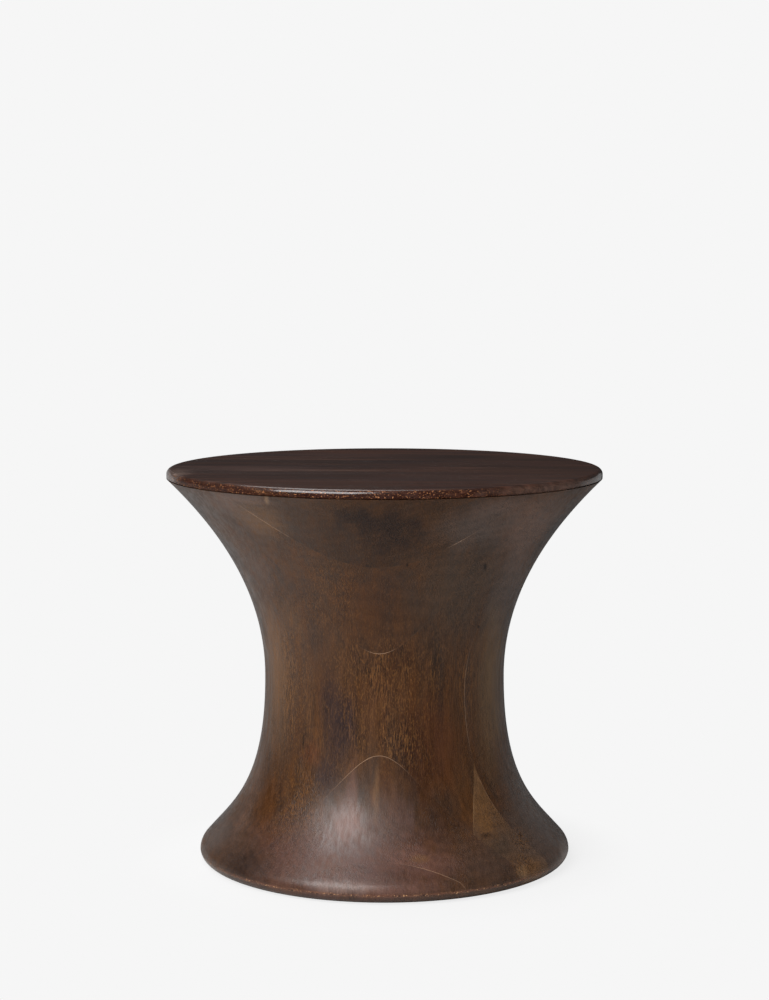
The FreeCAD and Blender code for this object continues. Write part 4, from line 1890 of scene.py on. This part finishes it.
@dataclass
class Swivel:
    """The bearing plates, balls, rivet and screws, and the boards that carry them."""

    shank_r: float = 0.002
    core_r: float = 0.0014
    ridge: float = 0.00045
    head_r: float = 0.004
    sink_h: float = 0.0022
    pan_h: float = 0.0024
    pan_round: float = 0.0012
    tip: float = 0.004
    thread_pitch: float = 0.0017
    cross_w: float = 0.0010
    cross_l: float = 0.0040
    cross_depth: float = 0.0013
    screw_sides: int = 20
    screw_steps: int = 4
    ball_r: float = 0.003
    ball_sides: int = 24
    balls: Ring = Ring(24, 0.068, 0.4247)
    screw_sets: Tuple[ScrewSet, ...] = (
        ScrewSet("subtop_screws", Body.SEAT, Head.FLUSH, 0.024, Ring(8, 0.118, 0.429, 22.5), True),
        ScrewSet("bearer_screws", Body.PEDESTAL, Head.FLUSH, 0.034, Ring(8, 0.118, 0.4204, 22.5), False),
        ScrewSet("upper_plate_screws", Body.SEAT, Head.PAN, 0.014, Ring(4, 0.045, 0.427, 45.0), True),
        ScrewSet("lower_plate_screws", Body.PEDESTAL, Head.PAN, 0.014, Ring(4, 0.089, 0.4224), False),
    )
    yellow = PlatedSteel("yellow zinc", display(205, 184, 128), display(160, 140, 92), 0.26, 0.15)
    polished = PlatedSteel("polished steel", display(214, 216, 220), display(196, 198, 204), 0.06, 0.05)
    zinc = PlatedSteel("zinc plate", display(196, 198, 200), display(150, 154, 160), 0.30, 0.20)

    @property
    def neck(self) -> float:
        """Where a screw's thread starts above its seat."""
        return self.sink_h + self.tip / 2.0

    def screw_profile(self, screw: ScrewSet) -> Pen:
        """One screw's turned core, seated at the origin and pointing up.

        Args:
            screw: The set that it belongs to.

        Returns:
            The pen that draws it.
        """
        if screw.head is Head.FLUSH:
            pen = Pen((0.0, 0.0)).line((self.head_r, 0.0), (self.shank_r, self.sink_h))
        else:
            inner = self.head_r - self.pan_round
            pen = Pen((0.0, -self.pan_h)).line((inner, -self.pan_h))
            pen.arc((inner, self.pan_round - self.pan_h), -QUARTER_TURN, 0.0)
            pen.line((self.head_r, 0.0), (self.shank_r, 0.0))
        return pen.line((self.shank_r, self.neck), (self.core_r, self.neck),
                        (self.core_r, screw.length - self.tip), (0.0, screw.length))

    def cross_cutter(self, top_z: float) -> Object:
        """The two crossed bars that the driver's recess is cut with.

        Args:
            top_z: Where the face of the screw's head lies.

        Returns:
            The bars, as one object.
        """
        work = bmesh.new()
        for wide, deep in ((self.cross_l, self.cross_w), (self.cross_w, self.cross_l)):
            size = Matrix.Diagonal((wide, deep, 2.0 * self.cross_depth, 1.0))
            bmesh.ops.create_cube(work, size=1.0, matrix=Matrix.Translation((0.0, 0.0, top_z)) @ size)
        return linked("cross_cutter", as_mesh("cross_cutter", work))

    def screw_mesh(self, screw: ScrewSet, steel: Material) -> Mesh:
        """One threaded screw with a cross in its head.

        Args:
            screw: The set that it belongs to.
            steel: Its material.

        Returns:
            The screw's mesh, seated at the origin.
        """
        profile = self.screw_profile(screw)
        core = TURNED_FORM.turn("screw_profile", profile, self.screw_steps, self.screw_sides, steel)
        body = linked("screw_core", closed_mesh(core))
        cross = body.modifiers.new("cross", "BOOLEAN")
        cross.operation = "DIFFERENCE"
        cross.solver = "EXACT"
        cross.use_self = True
        cross.object = self.cross_cutter(0.0 if screw.head is Head.FLUSH else -self.pan_h)
        cut = evaluated_mesh(body)
        for used in (cross.object, body):
            bpy.data.objects.remove(used)
        length = screw.length - self.tip - self.neck
        mesh = SCREW_THREAD.apply(linked("screw_core", cut), {
            "Turns": length / self.thread_pitch,
            "Crest Radius": self.shank_r,
            "Length": length,
            "Start": self.neck,
            "Ridge": self.ridge,
            "Material": steel,
        })
        if not screw.points_up:
            mesh.transform(Matrix.Rotation(math.pi, 4, "X"))
        return mesh

    def build_screws(self) -> None:
        """Makes each ring of screws."""
        steel = self.yellow.material()
        for screw in self.screw_sets:
            mesh = RING_OF_PIECES.copies(self.screw_mesh(screw, steel), screw.ring, steel)
            add_piece(f"{screw.node}_threaded", mesh, screw.body, Slot.SCREW_STEEL, screw.node)

    def build_balls(self) -> None:
        """Makes the ring of bearing balls."""
        work = bmesh.new()
        bmesh.ops.create_uvsphere(work, u_segments=self.ball_sides, v_segments=self.ball_sides // 2,
                                  radius=self.ball_r)
        ball = as_mesh("ball", work)
        ball.shade_smooth()
        mesh = RING_OF_PIECES.copies(ball, self.balls, self.polished.material())
        add_piece("bearing_balls_polished", mesh, Body.CAGE, Slot.BALL_STEEL, "bearing_balls")

    def dress(self) -> None:
        """Gives the plates, boards, rivet, washer and cage their materials."""
        for finish, nodes in ((Plywood(), ("seat_subtop", "swivel_bearer")),
                              (self.zinc, ("swivel_upper_plate", "swivel_lower_plate", "swivel_rivet")),
                              (MouldedNylon(), ("rivet_washer", "ball_cage"))):
            material = finish.material()
            for node in nodes:
                dress_node(node, material)

    def build(self) -> None:
        """Builds and dresses the whole swivel."""
        self.build_screws()
        self.build_balls()
        self.dress()


@dataclass
class FloorPads:
    """The felt discs under the foot."""

    count: int = 4
    edge_round: float = 0.0007
    sides: int = 48
    steps: int = 4

    def build(self) -> None:
        """Makes each pad where its node lies, with a softened edge."""
        felt = PressedFelt().material()
        for number in range(1, self.count + 1):
            node = f"floor_pad_{number}"
            low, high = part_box(node)
            middle = (low + high) / 2.0
            radius = (high.x - low.x) / 2.0
            inner = radius - self.edge_round
            pen = Pen((0.0, low.z)).line((inner, low.z))
            pen.arc((inner, low.z + self.edge_round), -QUARTER_TURN, 0.0)
            pen.line((radius, high.z), (0.0, high.z))
            mesh = closed_mesh(TURNED_FORM.turn("pad_profile", pen, self.steps, self.sides, felt))
            mesh.transform(Matrix.Translation((middle.x, middle.y, 0.0)))
            add_piece(f"{node}_felt", mesh, Body.PEDESTAL, Slot.FELT, node)


@dataclass(frozen=True)
class Panel:
    """A soft light: where it stands, what it faces, its size, its power and if gloss shows it."""

    name: str
    place: Place
    target: Place
    width: float
    height: float
    power: float
    mirrored: bool = True

    def build(self) -> None:
        """Adds the light, out of the camera's sight."""
        lamp = bpy.data.lights.new(self.name, "AREA")
        lamp.shape = "RECTANGLE"
        lamp.size = self.width
        lamp.size_y = self.height
        lamp.energy = self.power
        made = linked(self.name, lamp)
        made.visible_camera = False
        made.visible_glossy = self.mirrored
        made.location = self.place
        toward = Vector(self.target) - Vector(self.place)
        made.rotation_euler = toward.to_track_quat("-Z", "Y").to_euler()


@dataclass
class Studio:
    """The pale floor, the white surround, the lights and the camera."""

    lens: float = 81.25
    distance: float = 2.595
    eye_z: float = 0.7083
    turn_deg: float = 2.3
    pitch_deg: float = 6.37
    white: Colour = display(246, 246, 246)
    floor_pale: Colour = display(250, 250, 250)
    gloss_left: Colour = display(184, 181, 179)
    gloss_right: Colour = display(138, 138, 138)
    gloss_front: Colour = display(34, 34, 34)
    gloss_side_x: float = 0.4
    gloss_front_y: float = -0.75
    gloss_back_y: float = -0.22
    ambient: float = 0.25
    mirrored: float = 0.035
    floor_size: float = 60.0
    catch_share: float = 0.15
    catch_near: float = 0.205
    catch_far: float = 0.31
    panels: Tuple[Panel, ...] = (
        Panel("key", (-1.16, -1.69, 2.05), (0.0, 0.0, 0.25), 2.0, 1.7, 78.0),
        Panel("fill", (0.7, -2.9, 0.55), (0.0, 0.0, 0.25), 2.0, 1.5, 21.0, False),
        Panel("top", (-0.45, 0.7, 2.2), (0.0, 0.0, 0.4), 1.2, 1.0, 18.0),
        Panel("left", (-1.15, 1.9, 0.35), (0.0, 0.0, 0.2), 1.1, 0.9, 0.8),
        Panel("right", (1.5, 1.7, 0.35), (0.0, 0.0, 0.2), 1.5, 0.9, 1.0),
    )

    @staticmethod
    def emptied(owner: Union[Material, bpy.types.World]) -> Tuple[Graph, Sockets]:
        """Clears the nodes of a material or world.

        Args:
            owner: The material or world.

        Returns:
            Its graph, and masks of the kinds of ray that reach it.
        """
        owner.use_nodes = True
        owner.node_tree.nodes.clear()
        graph = Graph(owner.node_tree)
        return graph, graph.add("ShaderNodeLightPath").outputs

    @staticmethod
    def straight(graph: Graph, rays: Sockets) -> Socket:
        """1 for a ray that comes straight from the camera, or through something clear."""
        return graph.larger(rays["Is Camera Ray"], rays["Is Transmission Ray"])

    def build_world(self) -> None:
        """A white surround for the camera, a dim one in gloss and an even dim light for the stool."""
        world = bpy.data.worlds.new("studio")
        graph, rays = self.emptied(world)
        strengths = (self.ambient, self.mirrored, 1.0)
        even, gloss, bright = (graph.made("ShaderNodeBackground", {"Color": self.white, "Strength": share})
                               for share in strengths)
        around = graph.made("ShaderNodeMixShader", {0: rays["Is Glossy Ray"], 1: even, 2: gloss})
        seen = graph.made("ShaderNodeMixShader", {0: self.straight(graph, rays), 1: around, 2: bright})
        graph.add("ShaderNodeOutputWorld", {"Surface": seen})
        bpy.context.scene.world = world

    def floor_material(self) -> Material:
        """A pale floor that keeps the stool's shadow near it and is white further out.

        Returns:
            The material.
        """
        material = bpy.data.materials.new("pale floor")
        graph, rays = self.emptied(material)
        place = graph.place()
        across, along, _ = graph.split(place)
        to_right = graph.fade(across, -self.gloss_side_x, self.gloss_side_x)
        to_back = graph.fade(along, self.gloss_front_y, self.gloss_back_y)
        sides = graph.blend(to_right, self.gloss_left, self.gloss_right)
        gloss = graph.blend(to_back, self.gloss_front, sides)
        pale = graph.blend(rays["Is Glossy Ray"], self.floor_pale, gloss)
        clear = graph.fade(graph.length(place), self.catch_near, self.catch_far, 1.0 - self.catch_share, 1.0)
        shown = graph.made("ShaderNodeMixShader", {
            0: graph.times(self.straight(graph, rays), clear),
            1: graph.made("ShaderNodeBsdfDiffuse", {"Color": pale}),
            2: graph.made("ShaderNodeEmission", {"Color": self.white, "Strength": 1.0}),
        })
        graph.add("ShaderNodeOutputMaterial", {"Surface": shown})
        return material

    def build_floor(self) -> None:
        """A wide flat floor."""
        work = bmesh.new()
        bmesh.ops.create_grid(work, x_segments=1, y_segments=1, size=self.floor_size / 2.0)
        mesh = as_mesh("floor", work)
        mesh.materials.append(self.floor_material())
        linked("floor", mesh)

    def build_camera(self) -> None:
        """The camera, at the photograph's angle."""
        turn = math.radians(self.turn_deg)
        lens = bpy.data.cameras.new("camera")
        lens.lens = self.lens
        camera = linked("camera", lens)
        camera.location = (self.distance * math.sin(turn), -self.distance * math.cos(turn), self.eye_z)
        camera.rotation_euler = (QUARTER_TURN - math.radians(self.pitch_deg), 0.0, turn)
        bpy.context.scene.camera = camera

    def build(self) -> None:
        """Sets up the whole studio."""
        bpy.context.scene.view_settings.view_transform = "Standard"
        self.build_world()
        self.build_floor()
        for panel in self.panels:
            panel.build()
        self.build_camera()


def main() -> None:
    """Builds the stool and its studio."""
    logging.basicConfig(level=logging.INFO, format="%(name)s: %(message)s")
    pedestal, seat = Pedestal(), Seat()
    pedestal.build(PedestalWood(pedestal.joints()))
    seat.build(SeatWood(seat.joints()))
    Swivel().build()
    FloorPads().build()
    Studio().build()


if __name__ == "__main__":
    main()
